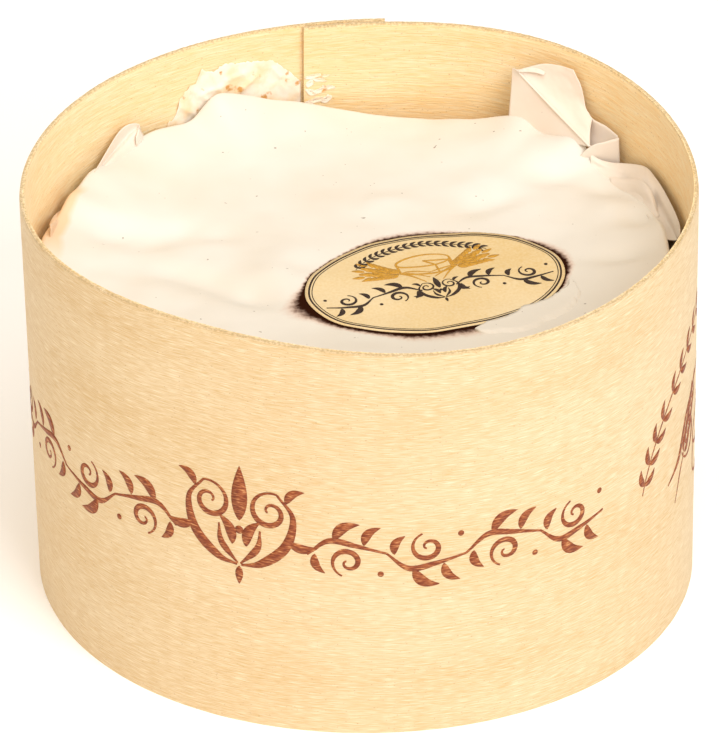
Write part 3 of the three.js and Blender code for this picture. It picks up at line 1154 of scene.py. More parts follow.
@dataclass
class WallPrint:
    """The ornament stamped on the band: a leafy frieze in front and a wreath at the right."""

    box: VeneerBox
    frieze_height: float = 28.4
    palmette_azimuth: float = -112.0
    palmette_foot: float = 24.2
    vine_gap: float = 12.0
    wreath_azimuth: float = 0.0
    wreath_height: float = 21.0

    def arc(self, azimuth: float) -> float:
        """How far along the strip an azimuth lies."""
        return math.radians(self.box.bend.travel(azimuth)) * self.box.bend.radius

    def strokes(self) -> list[Stroke]:
        """Lay the motifs out along the strip. The strip's travel runs clockwise, so x is mirrored."""
        centre = self.arc(self.palmette_azimuth)
        placed = [(stroke, centre, self.palmette_foot) for stroke in Ornament.palmette()]
        left, right = (self.arc(self.palmette_azimuth + side * self.vine_gap) for side in (1, -1))
        for stroke in Ornament.vine(4):
            placed.append((stroke, left, self.frieze_height))
            placed.append((stroke.mirrored(), right, self.frieze_height))
        wreath = Ornament.laurel(29.0, 22.5, 168, 96, 9)
        inner = [
            Pen.sweep(
                [(-21.0, 2.2), (-17.0, 4.4), (-13.4, 9.4), (-8.0, 12.0), (-2.0, 12.4)], 0.15, 0.5, 0.3
            ),
            Pen.scroll(3.4, 1.4, 0.15, 0.4, start=200).placed((-12.4, 5.6)),
        ]
        wreath += inner + [stroke.placed((-14.5, 4.0), 52) for stroke in Ornament.wheat_ear(7, 1.7)]
        whole = wreath + [stroke.mirrored() for stroke in wreath] + Ornament.wheel_and_wedge(2.0)
        place = self.arc(self.wreath_azimuth)
        placed += [(stroke, place, self.wreath_height) for stroke in whole]
        return [stroke.mirrored().placed((x, z)) for stroke, x, z in placed]

    def build(self) -> None:
        """Print the ornament on the band."""
        printer = Printer(Surface.WALL, self.box.bend, self.box.bend_group)
        ink = StampedInk("stamped_brown_ink", roughness=0.62).material()
        hand_in(printer.print("stamped_ornament", self.strokes(), ink))


# ---- the wrap ---------------------------------------------------------------------------------


@dataclass(frozen=True)
class Fold:
    """A loose flap of the wrap, as a grid of (azimuth, radius, height) control points."""

    name: str
    grid: tuple
    samples: tuple[int, int] = (24, 36)
    crumple: float = 0.08
    tucked: bool = False
    clearance: float = 0.25

    def points(self, wall: WallRadius, wrap: "WaxedWrap") -> Array:
        """Lay out the flap.

        Args:
            wall: The band, which the flap stays clear of.
            wrap: The rest of the sheet, which a tucked flap's last row goes in under.

        Returns:
            Its points, smooth between its control points, with a light crumple.
        """
        knots = np.array(self.grid, float)
        if self.tucked:
            turn = np.radians(knots[-1, :, 0])
            reach = wrap.crest_at(knots[-1, :, 0])[0] - 0.5
            under = wrap.top(reach * np.cos(turn), reach * np.sin(turn)) - 0.3
            row = np.stack([knots[-1, :, 0], reach, under], axis=-1)
            knots = np.concatenate([knots, row[None]])
        knots = polar(knots[..., 0], knots[..., 1], knots[..., 2])
        rows = spline(knots, self.samples[0])
        points = spline(rows.swapaxes(0, 1), self.samples[1]).swapaxes(0, 1)
        flat = points[..., :2] - AXIS
        reach = np.linalg.norm(flat, axis=-1)
        azimuth = np.degrees(np.arctan2(flat[..., 1], flat[..., 0]))
        wanted = reach + self.crumple * grain(points, 3.0, 5.0)
        wanted = np.minimum(wanted, wall.inside(azimuth, points[..., 2]) - self.clearance)
        return polar(azimuth, wanted, points[..., 2])


@dataclass
class WaxedWrap:
    """The one sheet of waxed paper: its top, shoulder, sides, gathered foot and loose flaps.

    The crest is where the top turns down the side, as (azimuth, radius, height over the plateau).
    A swell is (x, y, half length, half width, turn, height) of a gentle rise or hollow in the top.
    """

    columns: int = 360
    rings: int = 78
    paper: float = 0.1
    roll: float = 0.7
    dent: float = 0.3
    crinkle: float = 0.03
    side: float = 41.6
    foot_roll: float = 3.0
    gather: float = 2.0
    pleats: int = 31
    crest: tuple = (
        (-165, 42.6, 0.6), (-172, 43.3, 1.0), (-179, 43.6, 1.5), (174, 43.6, 1.4), (169, 43.2, 1.0),
        (165, 42.8, 1.2), (162, 42.5, 2.4), (160, 42.4, 2.3), (157, 42.4, 1.9), (153, 42.5, 2.1),
        (149, 42.4, 1.5), (145, 42.3, 1.7), (141, 42.3, 2.1), (137, 42.3, 2.9), (133, 42.3, 2.8),
        (126, 42.4, 1.8), (124, 42.5, 2.1), (121, 42.6, 4.1), (119, 42.8, 5.0), (115, 42.8, 4.1),
        (109, 42.4, 2.6), (102, 41.5, 1.5), (91, 40.6, 0.0), (84, 40.4, -0.5), (77, 40.4, -0.6),
        (70, 40.6, 0.2), (65, 41.0, 1.2), (60, 41.2, 2.5), (57, 41.2, 2.6), (54, 41.0, 1.6),
        (50, 41.2, 2.1), (46, 41.2, 2.0), (42, 41.0, 1.4), (39, 40.4, 0.4), (35, 40.2, 0.1),
        (30, 41.0, 0.0), (24, 40.8, 0.2), (18, 40.6, 1.2), (11, 40.5, 2.2), (4, 40.6, 1.8),
        (-6, 40.8, 0.8), (-30, 41.0, 0.4), (-90, 41.0, 0.5), (-150, 41.4, 0.5),
    )
    swell_height: float = 1.1
    swells: tuple = (
        (-34.0, 7.2, 4.5, 2.8, 10.0, -0.9), (-29.3, 5.1, 4.0, 2.6, 25.0, -0.7),
        (-25.3, 9.0, 4.0, 2.6, 20.0, -0.9), (-20.1, 7.1, 4.0, 2.4, 0.0, -0.6),
        (-25.1, -3.7, 4.5, 2.6, -20.0, -0.9), (-20.0, -6.6, 4.0, 2.6, -30.0, -0.9),
        (-15.0, -9.5, 3.5, 2.4, -30.0, -0.8), (27.2, 33.0, 3.4, 2.4, -20.0, -1.1),
        (25.7, 23.3, 4.5, 2.8, 20.0, -1.3), (17.3, 15.2, 5.0, 2.4, 30.0, -0.7),
        (32.9, 19.8, 3.2, 2.4, -40.0, -0.8), (37.2, 9.8, 3.2, 2.4, -50.0, -0.9),
        (35.6, 1.1, 5.0, 2.2, 15.0, -1.1), (-12.0, -3.7, 4.0, 3.0, -30.0, 0.7),
        (-10.7, 1.2, 4.0, 3.0, 20.0, 0.6), (2.9, 14.8, 6.0, 3.0, 5.0, 0.6),
        (15.3, 21.0, 6.0, 3.5, 20.0, 0.6), (-36.0, 20.3, 4.0, 3.0, 50.0, 0.5),
        (29.0, 28.5, 3.6, 3.0, 50.0, 0.9), (33.5, 13.5, 3.6, 3.0, -45.0, 0.7),
        (-2.0, -26.0, 9.0, 4.0, 5.0, 0.6),
    )
    # The loose flaps that stand between the wheel and the wall.
    folds: tuple = (
        Fold("ear_left", (
            ((61.6, 43.4, 55.3), (60.9, 43.1, 55.5), (60.3, 42.9, 55.5)),
            ((61.1, 42.3, 52.4), (58.6, 42.2, 53.0), (55.5, 42.2, 53.7)),
            ((60.8, 41.3, 49.4), (55.6, 41.4, 49.7), (49.0, 41.8, 51.2)),
            ((60.7, 40.8, 47.2), (51.9, 40.8, 47.5), (40.3, 40.8, 49.3)),
        ), samples=(40, 24), crumple=0.05),
        Fold("ear_right", (
            (
                (60.3, 42.9, 55.5), (58.1, 43.6, 56.2), (55.4, 44.2, 57.0), (52.4, 44.6, 57.2),
                (49.7, 44.8, 57.2),
            ),
            (
                (55.6, 42.3, 53.6), (54.0, 43.2, 53.9), (52.0, 44.0, 54.4), (49.8, 44.5, 54.9),
                (47.8, 44.8, 55.2),
            ),
            (
                (49.0, 41.8, 51.2), (48.8, 42.8, 51.6), (48.3, 43.6, 52.2), (47.5, 44.2, 52.7),
                (46.3, 44.5, 52.6),
            ),
            (
                (40.1, 40.8, 49.4), (41.6, 41.8, 50.0), (42.6, 42.6, 50.6), (43.5, 43.4, 51.0),
                (44.1, 44.0, 51.5),
            ),
        ), samples=(40, 36), crumple=0.12),
        Fold("ear_crease", (
            ((60.7, 43.0, 55.4), (60.35, 42.7, 55.6), (60.1, 43.0, 55.6)),
            ((55.9, 42.3, 53.4), (55.5, 41.95, 53.7), (55.3, 42.3, 53.7)),
            ((49.3, 41.8, 51.0), (48.9, 41.45, 51.3), (48.7, 41.8, 51.3)),
            ((40.5, 40.9, 49.2), (40.1, 40.6, 49.5), (39.9, 40.9, 49.5)),
        ), samples=(40, 8), crumple=0.0),
        Fold("ear_tip", (
            ((60.3, 43.0, 55.5), (58.4, 43.3, 56.1), (56.6, 43.6, 56.2), (55.0, 43.8, 55.9)),
            ((59.7, 42.6, 55.5), (57.9, 42.8, 55.7), (56.2, 43.0, 55.8), (54.9, 43.4, 55.7)),
        ), samples=(8, 24), crumple=0.3),
        Fold("pocket_front", (
            ((42.5, 39.4, 46.9), (39.9, 40.8, 49.5), (38.2, 42.4, 50.2), (36.8, 44.0, 50.8)),
            ((42.5, 39.4, 46.4), (39.9, 40.9, 48.1), (38.2, 42.5, 47.9), (36.3, 43.9, 47.8)),
            ((42.5, 40.2, 46.0), (40.0, 41.2, 46.4), (38.1, 42.6, 45.4), (35.9, 43.8, 45.0)),
        ), samples=(14, 18), crumple=0.04),
        Fold("pocket_back", (
            ((47.2, 44.6, 52.6), (44.1, 44.0, 51.5), (41.1, 44.6, 50.9), (37.9, 44.5, 50.5)),
            ((47.2, 44.2, 49.9), (44.1, 43.8, 49.6), (41.3, 43.9, 48.9), (37.9, 44.2, 48.7)),
            ((47.2, 43.6, 47.8), (44.2, 43.2, 47.8), (41.2, 43.0, 47.4), (37.8, 43.6, 47.0)),
        ), samples=(14, 18), crumple=0.04),
        Fold("right_flange", (
            (
                (40.1, 40.9, 48.2), (38.4, 41.6, 47.6), (36.8, 42.6, 47.3), (34.2, 43.4, 47.8),
                (30.0, 43.9, 48.9), (27.2, 43.9, 49.4), (24.1, 43.7, 49.4), (19.3, 43.5, 49.2),
                (9.0, 43.2, 49.0), (5.0, 43.0, 48.4),
            ),
            (
                (39.7, 40.7, 47.7), (37.6, 41.2, 47.3), (35.5, 41.9, 47.1), (32.4, 42.5, 47.5),
                (28.1, 42.9, 48.8), (25.1, 42.9, 49.4), (22.6, 42.9, 49.3), (18.5, 42.8, 48.7),
                (9.8, 42.7, 48.2), (5.2, 42.7, 47.9),
            ),
            (
                (39.4, 40.5, 47.2), (37.3, 41.0, 46.8), (34.4, 41.5, 46.8), (31.2, 41.9, 46.9),
                (26.9, 42.1, 48.5), (23.9, 42.2, 49.0), (21.5, 42.2, 48.8), (18.8, 42.2, 47.7),
                (11.8, 42.2, 47.2), (5.4, 42.4, 47.4),
            ),
        ), samples=(24, 90), crumple=0.03, tucked=True),
        Fold("right_lens", (
            (
                (34.6, 41.1, 46.4), (30.6, 41.6, 47.2), (26.4, 41.9, 48.6), (23.4, 42.0, 49.1),
                (20.9, 42.0, 48.9), (18.7, 42.0, 48.2), (16.4, 41.9, 47.2),
            ),
            (
                (33.6, 40.7, 46.4), (29.0, 41.0, 47.2), (25.5, 41.2, 47.9), (22.3, 41.3, 48.5),
                (20.0, 41.4, 48.6), (17.7, 41.5, 48.2), (15.4, 41.7, 47.3),
            ),
            (
                (32.9, 40.4, 46.3), (27.9, 40.6, 46.7), (25.3, 40.7, 46.7), (22.1, 40.8, 47.3),
                (19.3, 41.0, 47.8), (17.1, 41.2, 47.9), (14.5, 41.5, 47.4),
            ),
        ), samples=(20, 50), crumple=0.03, tucked=True),
        Fold("right_pocket", (
            (
                (16.6, 42.0, 47.4), (13.7, 42.3, 47.0), (10.7, 42.5, 47.1), (7.1, 42.7, 47.5),
                (4.5, 42.9, 47.9), (0.5, 42.8, 46.8),
            ),
            (
                (15.8, 41.9, 45.0), (13.9, 42.2, 44.4), (10.6, 42.4, 44.4), (7.2, 42.7, 44.7),
                (4.5, 43.0, 44.8), (0.5, 42.8, 44.0),
            ),
            (
                (15.0, 41.9, 41.4), (13.2, 42.1, 40.6), (11.2, 42.3, 39.8), (8.0, 42.6, 39.2),
                (5.0, 42.9, 39.0), (1.0, 42.8, 39.0),
            ),
        ), samples=(16, 40), crumple=0.03),
        Fold("left_petal", (
            (
                (152.4, 42.2, 49.3), (149.0, 42.6, 49.8), (143.7, 43.2, 51.2), (141.2, 43.4, 51.8),
                (139.4, 43.4, 51.9), (138.0, 43.2, 51.7), (137.3, 42.8, 51.5),
            ),
            (
                (151.1, 42.3, 48.9), (147.1, 42.9, 48.9), (142.4, 43.4, 49.6), (140.0, 43.5, 50.1),
                (138.7, 43.4, 50.6), (137.7, 43.1, 50.9), (137.2, 42.8, 51.1),
            ),
            (
                (151.4, 42.0, 48.9), (148.2, 42.2, 48.9), (144.6, 42.4, 49.2), (142.0, 42.5, 49.5),
                (139.8, 42.6, 50.1), (138.5, 42.6, 50.5), (137.7, 42.5, 50.8),
            ),
        ), samples=(24, 44), crumple=0.02, tucked=True),
        Fold("left_sliver", (
            ((137.2, 42.9, 51.4), (136.8, 42.9, 50.3), (136.4, 42.6, 49.4)),
            ((138.1, 42.3, 51.0), (139.4, 42.0, 50.3), (139.2, 41.8, 49.6)),
        ), samples=(12, 14), crumple=0.02, tucked=True),
        Fold("left_lens", (
            ((173.4, 43.4, 49.2), (167.6, 43.8, 48.0), (163.9, 43.9, 47.2), (159.9, 43.8, 46.5)),
            ((174.9, 43.0, 49.9), (169.0, 43.1, 48.1), (165.0, 43.1, 47.1), (161.6, 43.2, 47.0)),
        ), samples=(12, 24), crumple=0.02, tucked=True),
    )

    def crest_at(self, azimuth: Array) -> tuple[Array, Array]:
        """Find the crest's radius and height over the plateau at each azimuth."""
        table = np.array(sorted((a % 360, r, z) for a, r, z in self.crest))
        around = np.concatenate([table[-3:] - [360, 0, 0], table, table[:3] + [360, 0, 0]])
        fine = np.arange(-40, 400, 0.5)
        kernel = np.exp(-(np.arange(-8, 9) / 3.0) ** 2)
        soft = [
            np.convolve(np.interp(fine, around[:, 0], around[:, k]), kernel / kernel.sum(), "same")
            for k in (1, 2)
        ]
        return tuple(np.interp(azimuth % 360, fine, values) for values in soft)

    def top(self, x: Array, y: Array) -> Array:
        """Find the height of the sheet's top over points on the plan."""
        azimuth = np.degrees(np.arctan2(y, x))
        radius, lift = self.crest_at(azimuth)
        share = np.hypot(x, y) / radius
        height = PLATEAU + lift * np.clip((share - 0.62) / 0.38, 0, 1) ** 1.7
        for cx, cy, long, short, turn, rise in self.swells:
            c, s = math.cos(math.radians(turn)), math.sin(math.radians(turn))
            along = ((x - cx) * c + (y - cy) * s) / long
            across = ((y - cy) * c - (x - cx) * s) / short
            height = height + self.swell_height * rise * np.exp(-(along**2) - across**2)
        plan = np.stack([x, y, 0 * x], axis=-1)
        return height + self.dent * grain(plan, 9.0, 1.0, 2) + self.crinkle * grain(plan, 3.0, 2.0, 2)

    def body(self) -> tuple[Array, list]:
        """Build the sheet over the wheel, from the middle of the top to the gather under the foot."""
        azimuth = np.arange(self.columns) * 360 / self.columns
        turn = np.radians(azimuth)
        radius, _ = self.crest_at(azimuth)
        rings = []
        for share in np.linspace(0.004, 1, self.rings) ** 0.9:
            x, y = share * radius * np.cos(turn), share * radius * np.sin(turn)
            rings.append(np.stack([x, y, self.top(x, y)], axis=-1))
        edge = rings[-1]
        for bow in np.radians(np.linspace(18, 90, 5)):
            reach = (radius + self.roll * math.sin(bow)) / radius
            fall = self.roll * (1 - math.cos(bow))
            rings.append(np.stack([edge[:, 0] * reach, edge[:, 1] * reach, edge[:, 2] - fall], axis=-1))
        shoulder = rings[-1]
        foot_level = WRAP_LOW[2] + 0.2
        inner = self.side - self.foot_roll
        outer = np.hypot(shoulder[:, 0], shoulder[:, 1])
        for share in np.linspace(0, 1, 17)[1:]:
            height = shoulder[:, 2] + (foot_level + self.foot_roll - shoulder[:, 2]) * share
            pleat = 0.3 * share * np.sin(self.pleats * turn + 2 * np.sin(3 * turn))
            pleat = pleat + 0.25 * np.sin(7 * turn + 9 * share)
            side = outer + (self.side - outer) * min(1.0, 2.2 * share) + pleat
            rings.append(np.stack([side * np.cos(turn), side * np.sin(turn), height], axis=-1))
        for bow in np.radians(np.linspace(20, 90, 4)):
            side = inner + self.foot_roll * math.cos(bow) + 0.25 * np.sin(self.pleats * turn)
            level = foot_level + self.foot_roll - self.foot_roll * math.sin(bow) + 0 * turn
            rings.append(np.stack([side * np.cos(turn), side * np.sin(turn), level], axis=-1))
        for share in np.linspace(0, 1, 12)[1:]:
            side = inner + (self.gather - inner) * share + 0 * turn
            level = foot_level + 0.22 * (1 + np.sin(36 * turn + 5 * share)) * math.sin(math.pi * share)
            rings.append(np.stack([side * np.cos(turn), side * np.sin(turn), level], axis=-1))
        points = np.array(rings) + np.array([AXIS[0], AXIS[1], 0.0])
        return points.reshape(-1, 3), grid_faces(len(rings), self.columns, closed=True)

    def build(self, wall: WallRadius) -> None:
        """Build the sheet over the wheel, and its loose flaps, clear of the wall."""
        points, faces = self.body()
        paper = WaxedPaper("waxed_paper", roughness=0.45, halo=True).material()
        # Painted light: the loose flaps get a paler copy of the paper than the wrap, standing in for the
        # light that falls on them beside the wall.
        loose = WaxedPaper(
            "waxed_paper_loose_painted_light", roughness=0.4, white="#fdf6ec", cream="#fbecdc", glow=0.2
        ).material()
        sheet = add_mesh("waxed_wrap", points, faces, paper)
        sheet.data.flip_normals()
        thicken(sheet, self.paper, -1.0)
        hand_in(sheet, "wrap_paper")
        for fold in self.folds:
            points, faces = fold.points(wall, self), grid_faces(*fold.samples)
            flap = add_mesh("wrap_" + fold.name, points, faces, loose)
            thicken(flap, self.paper, 0.0)
            hand_in(flap)


# ---- the label --------------------------------------------------------------------------------


@dataclass
class OvalLabel:
    """The printed oval that lies on the wrap, with a lip of paper over its lower right edge."""

    half_long: float = 18.0
    half_short: float = 12.6
    turn: float = 17.5
    lift: float = 0.16
    ink_gap: float = 0.01
    paper: float = 0.1
    lip_width: float = 5.2
    lip_paper: float = 0.06
    lip_rise: float = 0.16
    lip_drop: float = 0.7
    # The lip's upper edge, on the plan from the box's axis.
    lip_line: tuple = (
        (14.6, -18.8), (16.2, -17.0), (18.0, -15.9), (20.0, -14.2), (20.9, -12.6), (22.0, -12.0),
        (23.4, -11.3), (25.5, -9.3), (26.8, -7.8), (27.8, -5.6),
    )

    @property
    def centre(self) -> Array:
        """The label's centre on the plan."""
        return ((LABEL_LOW + LABEL_HIGH) / 2)[:2]

    def on_wrap(self, wrap: WaxedWrap, flat: Array, lift: Array) -> Array:
        """Lay points of the flat label on the wrap.

        Args:
            wrap: The wrap that the label lies on.
            flat: Points on the label, along and across it from its centre.
            lift: How far each point lies over the wrap.

        Returns:
            The points in space, in millimetres.
        """
        c, s = math.cos(math.radians(self.turn)), math.sin(math.radians(self.turn))
        x = self.centre[0] + flat[..., 0] * c - flat[..., 1] * s
        y = self.centre[1] + flat[..., 0] * s + flat[..., 1] * c
        height = wrap.top(x - AXIS[0], y - AXIS[1])
        return np.stack([x, y, height + lift], axis=-1)

    def ground(self, wrap: WaxedWrap) -> Piece:
        """Build the label's paper."""
        turns = np.linspace(0, 2 * math.pi, 120, endpoint=False)
        rings = np.linspace(0.01, 1, 26)
        flat = np.stack(
            [
                rings[:, None] * self.half_long * np.cos(turns),
                rings[:, None] * self.half_short * np.sin(turns),
            ],
            axis=-1,
        )
        points = self.on_wrap(wrap, flat, self.lift + 0 * flat[..., 0])
        faces = grid_faces(len(rings), len(turns), closed=True) + [tuple(range(len(turns)))]
        paper = CoatedPaper("coated_label_paper", roughness=0.32).material()
        label = add_mesh("label_paper", points, faces, paper)
        label.data.flip_normals()
        thicken(label, self.paper, -1.0)
        return label

    def lip(self, wrap: WaxedWrap, paper: Material) -> Piece:
        """Build the lip of the wrap that laps over the label's lower right edge."""
        edge = spline(np.array(self.lip_line), 90)
        solid = np.pad(edge, ((0, 0), (0, 1)))
        edge += 0.25 * np.stack([grain(solid, 1.6, seed) for seed in (3.0, 8.0)], axis=1)
        share = np.linspace(0, 1, 12)
        out = np.array([0.66, -0.75]) * self.lip_width
        ends = np.sin(np.linspace(0, math.pi, len(edge))) ** 0.4
        plan = edge[:, None, :] + share[None, :, None] * ends[:, None, None] * out
        rise = self.lift + self.lip_rise - self.lip_drop * np.clip((share[None, :] - 0.7) / 0.3, 0, 1)
        height = wrap.top(plan[..., 0], plan[..., 1]) + rise
        points = np.concatenate([plan + AXIS, height[..., None]], axis=-1)
        flap = add_mesh("label_lip", points, grid_faces(len(edge), len(share)), paper)
        flap.data.flip_normals()
        thicken(flap, self.lip_paper, -1.0)
        return flap

    def border(self, inset: float, width: float) -> Stroke:
        """A line that follows the label's edge."""
        turns = np.linspace(0, 2 * math.pi, 161)
        points = np.stack(
            [(self.half_long - inset) * np.cos(turns), (self.half_short - inset) * np.sin(turns)], axis=1
        )
        return Stroke(points, np.full(len(turns), width / 2))

    def dark_strokes(self) -> list[Stroke]:
        """The dark print: the border and a flourish of leaves and scrolls across the middle."""
        strokes = [self.border(0.55, 0.26), self.border(0.95, 0.12)]
        for stroke in Ornament.vine(2, 11.4):
            strokes.append(stroke.placed((2.4, -1.5), -2, 0.6))
            strokes.append(stroke.mirrored().placed((-2.4, -1.5), 2, 0.6))
        for stroke in Ornament.palmette():
            strokes.append(stroke.placed((0.0, -4.6), 0, 0.36))
        return strokes + Ornament.laurel(self.half_long - 6.2, self.half_short - 2.6, 142, 38, 19, 1.2)

    def gold_strokes(self) -> list[Stroke]:
        """The gold print over the flourish: ears of wheat on both sides of a round cheese."""
        strokes = [
            Stroke(stroke.points, stroke.widths * 1.5).placed((0.0, 4.4), 0, 0.9)
            for stroke in Ornament.wheel_and_wedge(1.0)
        ]
        for tilt in (6, 24, 42):
            for stroke in Ornament.wheat_ear(6, 1.05):
                placed = stroke.placed((4.2, 3.4), tilt)
                strokes += [placed, placed.mirrored()]
        return strokes

    def build(self, wrap: WaxedWrap) -> None:
        """Build the label and its print on the wrap."""
        hand_in(self.ground(wrap), "oval_label")
        paper = WaxedPaper("waxed_paper_lip", roughness=0.45).material()
        hand_in(self.lip(wrap, paper))
        printer = Printer(Surface.LABEL, film=0.02)
        gold = PrintedInk("gold_ink", roughness=0.35, colour="#b07c18", mottle="#cf9c34")
        prints = (
            ("label_dark_print", self.dark_strokes(), PrintedInk("dark_brown_ink", roughness=0.6)),
            ("label_gold_print", self.gold_strokes(), gold),
        )
        for name, strokes, ink in prints:
            piece = printer.print(name, strokes, ink.material())
            flat = np.empty(len(piece.data.vertices) * 3)
            piece.data.vertices.foreach_get("co", flat)
            flat = flat.reshape(-1, 3)
            laid = self.on_wrap(wrap, flat[:, :2], self.lift + self.ink_gap + flat[:, 2]) * MM
            piece.data.vertices.foreach_set("co", laid.ravel())
            hand_in(piece)


# ---- the scrap and the wheel ------------------------------------------------------------------


@dataclass
class TornScrap:
    """A torn scrap of the wrap that stuck to the wall when the box was filled, and its flakes."""

    off_wall: float = 0.12
    film: float = 0.06
    flake_film: float = 0.04
    foot: float = 44.5
    ends: tuple[float, float] = (131, 101.9)
    ridge: float = 0.22
    ridge_width: float = 0.35
    ridges: tuple = (
        ((124.0, 52.8), (118.6, 49.4)), ((119.5, 54.9), (116.2, 48.6)), ((129.4, 47.6), (127.6, 46.0)),
        ((113.4, 50.6), (110.6, 52.4)), ((107.4, 53.4), (105.9, 51.8)), ((126.6, 50.8), (121.0, 47.6)),
        ((116.4, 52.8), (112.8, 53.2)), ((121.8, 51.6), (117.6, 51.9)),
    )
    outline: tuple = (
        (130.0, 45.0), (129.0, 48.6), (127.0, 49.6), (126.2, 51.8), (124.2, 53.2), (122.8, 53.4),
        (121.4, 55.4), (118.4, 54.6), (117.2, 55.6), (113.4, 54.9), (110.0, 54.8), (107.2, 54.4),
        (105.0, 53.0), (103.6, 51.8), (102.4, 50.9), (101.9, 50.6),
    )
    # Flakes on the other side of the seam, as (azimuth, height, half length, half height, turn).
    flakes: tuple = (
        (99.9, 51.6, 1.3, 0.35, 8.0), (100.4, 50.5, 0.7, 0.5, 40.0), (98.6, 50.9, 1.1, 0.3, -12.0),
        (97.4, 51.5, 0.8, 0.25, 4.0), (100.2, 49.0, 0.9, 0.5, -30.0), (98.4, 49.2, 1.2, 0.35, 15.0),
        (96.9, 49.6, 1.0, 0.35, -5.0), (99.3, 47.6, 1.6, 0.4, 10.0), (97.3, 47.7, 1.0, 0.5, 35.0),
        (100.6, 47.2, 0.6, 0.4, 0.0),
    )

    def scrap(self, wall: WallRadius, film: Material) -> Piece:
        """Build the scrap as a wrinkled film with a ragged edge."""
        columns, rows = 100, 44
        azimuth = np.linspace(*self.ends, columns)
        edge = np.array(self.outline)[::-1]
        crest = np.interp(azimuth, edge[:, 0], edge[:, 1])
        share = np.linspace(0, 1, rows)[:, None]
        height = self.foot + (crest - self.foot) * share
        plan = np.stack([np.broadcast_to(azimuth, height.shape), height, 0 * height], axis=-1)
        height = height + 0.5 * grain(plan, 1.2, 7.0) * share**4
        lift = self.off_wall + 0.15 * np.abs(grain(plan, 4.0, 3.0)) + 0.0 * height
        arc = math.radians(wall.bend.radius)
        for (first, low), (last, high) in self.ridges:
            way = np.array([(last - first) * arc, high - low])
            flat = np.stack([(azimuth[None, :] - first) * arc + 0 * height, height - low], axis=-1)
            along = np.clip(flat @ way / (way @ way), 0, 1)
            gap = np.linalg.norm(flat - along[..., None] * way, axis=-1)
            lift += self.ridge * np.exp(-((gap / self.ridge_width) ** 2))
        points = polar(azimuth[None, :], wall.inside(azimuth[None, :], height) - lift, height)
        piece = add_mesh("torn_scrap", points, grid_faces(rows, columns), film)
        thicken(piece, self.film, 0.0)
        return piece

    def scatter(self, wall: WallRadius, film: Material) -> Piece:
        """Build the flakes beside the scrap, as one piece of ragged ovals."""
        arc = math.radians(wall.bend.radius)
        around = np.linspace(0, 2 * math.pi, 40, endpoint=False)
        rings = np.array([0.02, 0.4, 0.75, 1.0])[:, None]
        laid, faces = [], []
        for place, level, long, tall, turn in self.flakes:
            c, s = math.cos(math.radians(turn)), math.sin(math.radians(turn))
            x, y = rings * long * np.cos(around), rings * tall * np.sin(around)
            x, y = x * c - y * s, x * s + y * c
            ragged = 1 + 0.35 * grain(np.stack([x + place, y + level, 0 * x], axis=-1), 0.5, 2.0)
            turned, height = place - x * ragged / arc, level + y * ragged
            first = len(laid) * rings.size * len(around)
            faces += grid_faces(len(rings), len(around), closed=True, first=first)
            laid.append(polar(turned, wall.inside(turned, height) - 0.05 - 0.1 * rings**2, height))
        piece = add_mesh("torn_flakes", np.array(laid), faces, film)
        thicken(piece, self.flake_film, 0.0)
        return piece

    def build(self, wall: WallRadius) -> None:
        """Build the scrap and the flakes."""
        film = StainedFilm("stained_paper_film", roughness=0.4).material()
        hand_in(self.scrap(wall, film), "torn_paper_scrap")
        hand_in(self.scatter(wall, film))


@dataclass
class CheeseWheel:
    """The wheel itself, hidden in its wrap: slumped, soft-edged, with a bloomy rind."""

    columns: int = 220
    edge: float = 6.0
    side_gap: float = 0.25
    top_gap: float = 0.4
    taper: float = 0.3
    under_wrap: float = 0.5

    def build(self, wrap: WaxedWrap) -> None:
        """Build the wheel inside the space that its CAD solid holds, with its top under the wrap's."""
        radius = (WHEEL_HIGH[0] - WHEEL_LOW[0]) / 2 - self.side_gap
        low, high = WHEEL_LOW[2], WHEEL_HIGH[2] - self.top_gap
        edge, middle = self.edge, 0.02
        lower, upper = radius - edge, radius - edge - self.taper
        outline = [(middle, low)]
        outline += [(r, low) for r in np.linspace(4, lower, 14)]
        for bow in np.radians(np.linspace(-80, 0, 8)):
            outline.append((lower + edge * math.cos(bow), low + edge * (1 + math.sin(bow))))
        for share in np.linspace(0.1, 1, 12):
            outline.append((radius - self.taper * share, low + edge + share * (high - low - 2 * edge)))
        for bow in np.radians(np.linspace(10, 90, 8)):
            outline.append((upper + edge * math.cos(bow), high - edge * (1 - math.sin(bow))))
        outline += [(r, high) for r in np.linspace(upper, 4, 14)[1:]]
        outline += [(middle, high)]
        reach, level = np.array(outline).T
        azimuth = np.linspace(0, 360, self.columns, endpoint=False)
        points = polar(azimuth[None, :], reach[:, None], level[:, None])
        middle = np.array([AXIS[0], AXIS[1], (low + high) / 2])
        relief = 0.16 * grain(points, 6.0, 4.0) - 0.18
        outward = points - middle
        outward /= np.linalg.norm(outward, axis=-1, keepdims=True)
        outward[..., 2] = np.where(level[:, None] < low + 1, 0, outward[..., 2])
        points = points + outward * relief[..., None]
        skin = wrap.top(points[..., 0] - AXIS[0], points[..., 1] - AXIS[1]) - self.under_wrap
        points[..., 2] = np.minimum(points[..., 2], skin)
        faces = grid_faces(len(outline), self.columns, closed=True)
        last = len(outline) * self.columns
        faces += [tuple(range(self.columns))[::-1], tuple(range(last - self.columns, last))]
        rind = BloomyRind("bloomy_rind", roughness=0.9).material()
        hand_in(add_mesh("bloomy_wheel", points, faces, rind), "cheese_wheel")


# ---- the studio -------------------------------------------------------------------------------


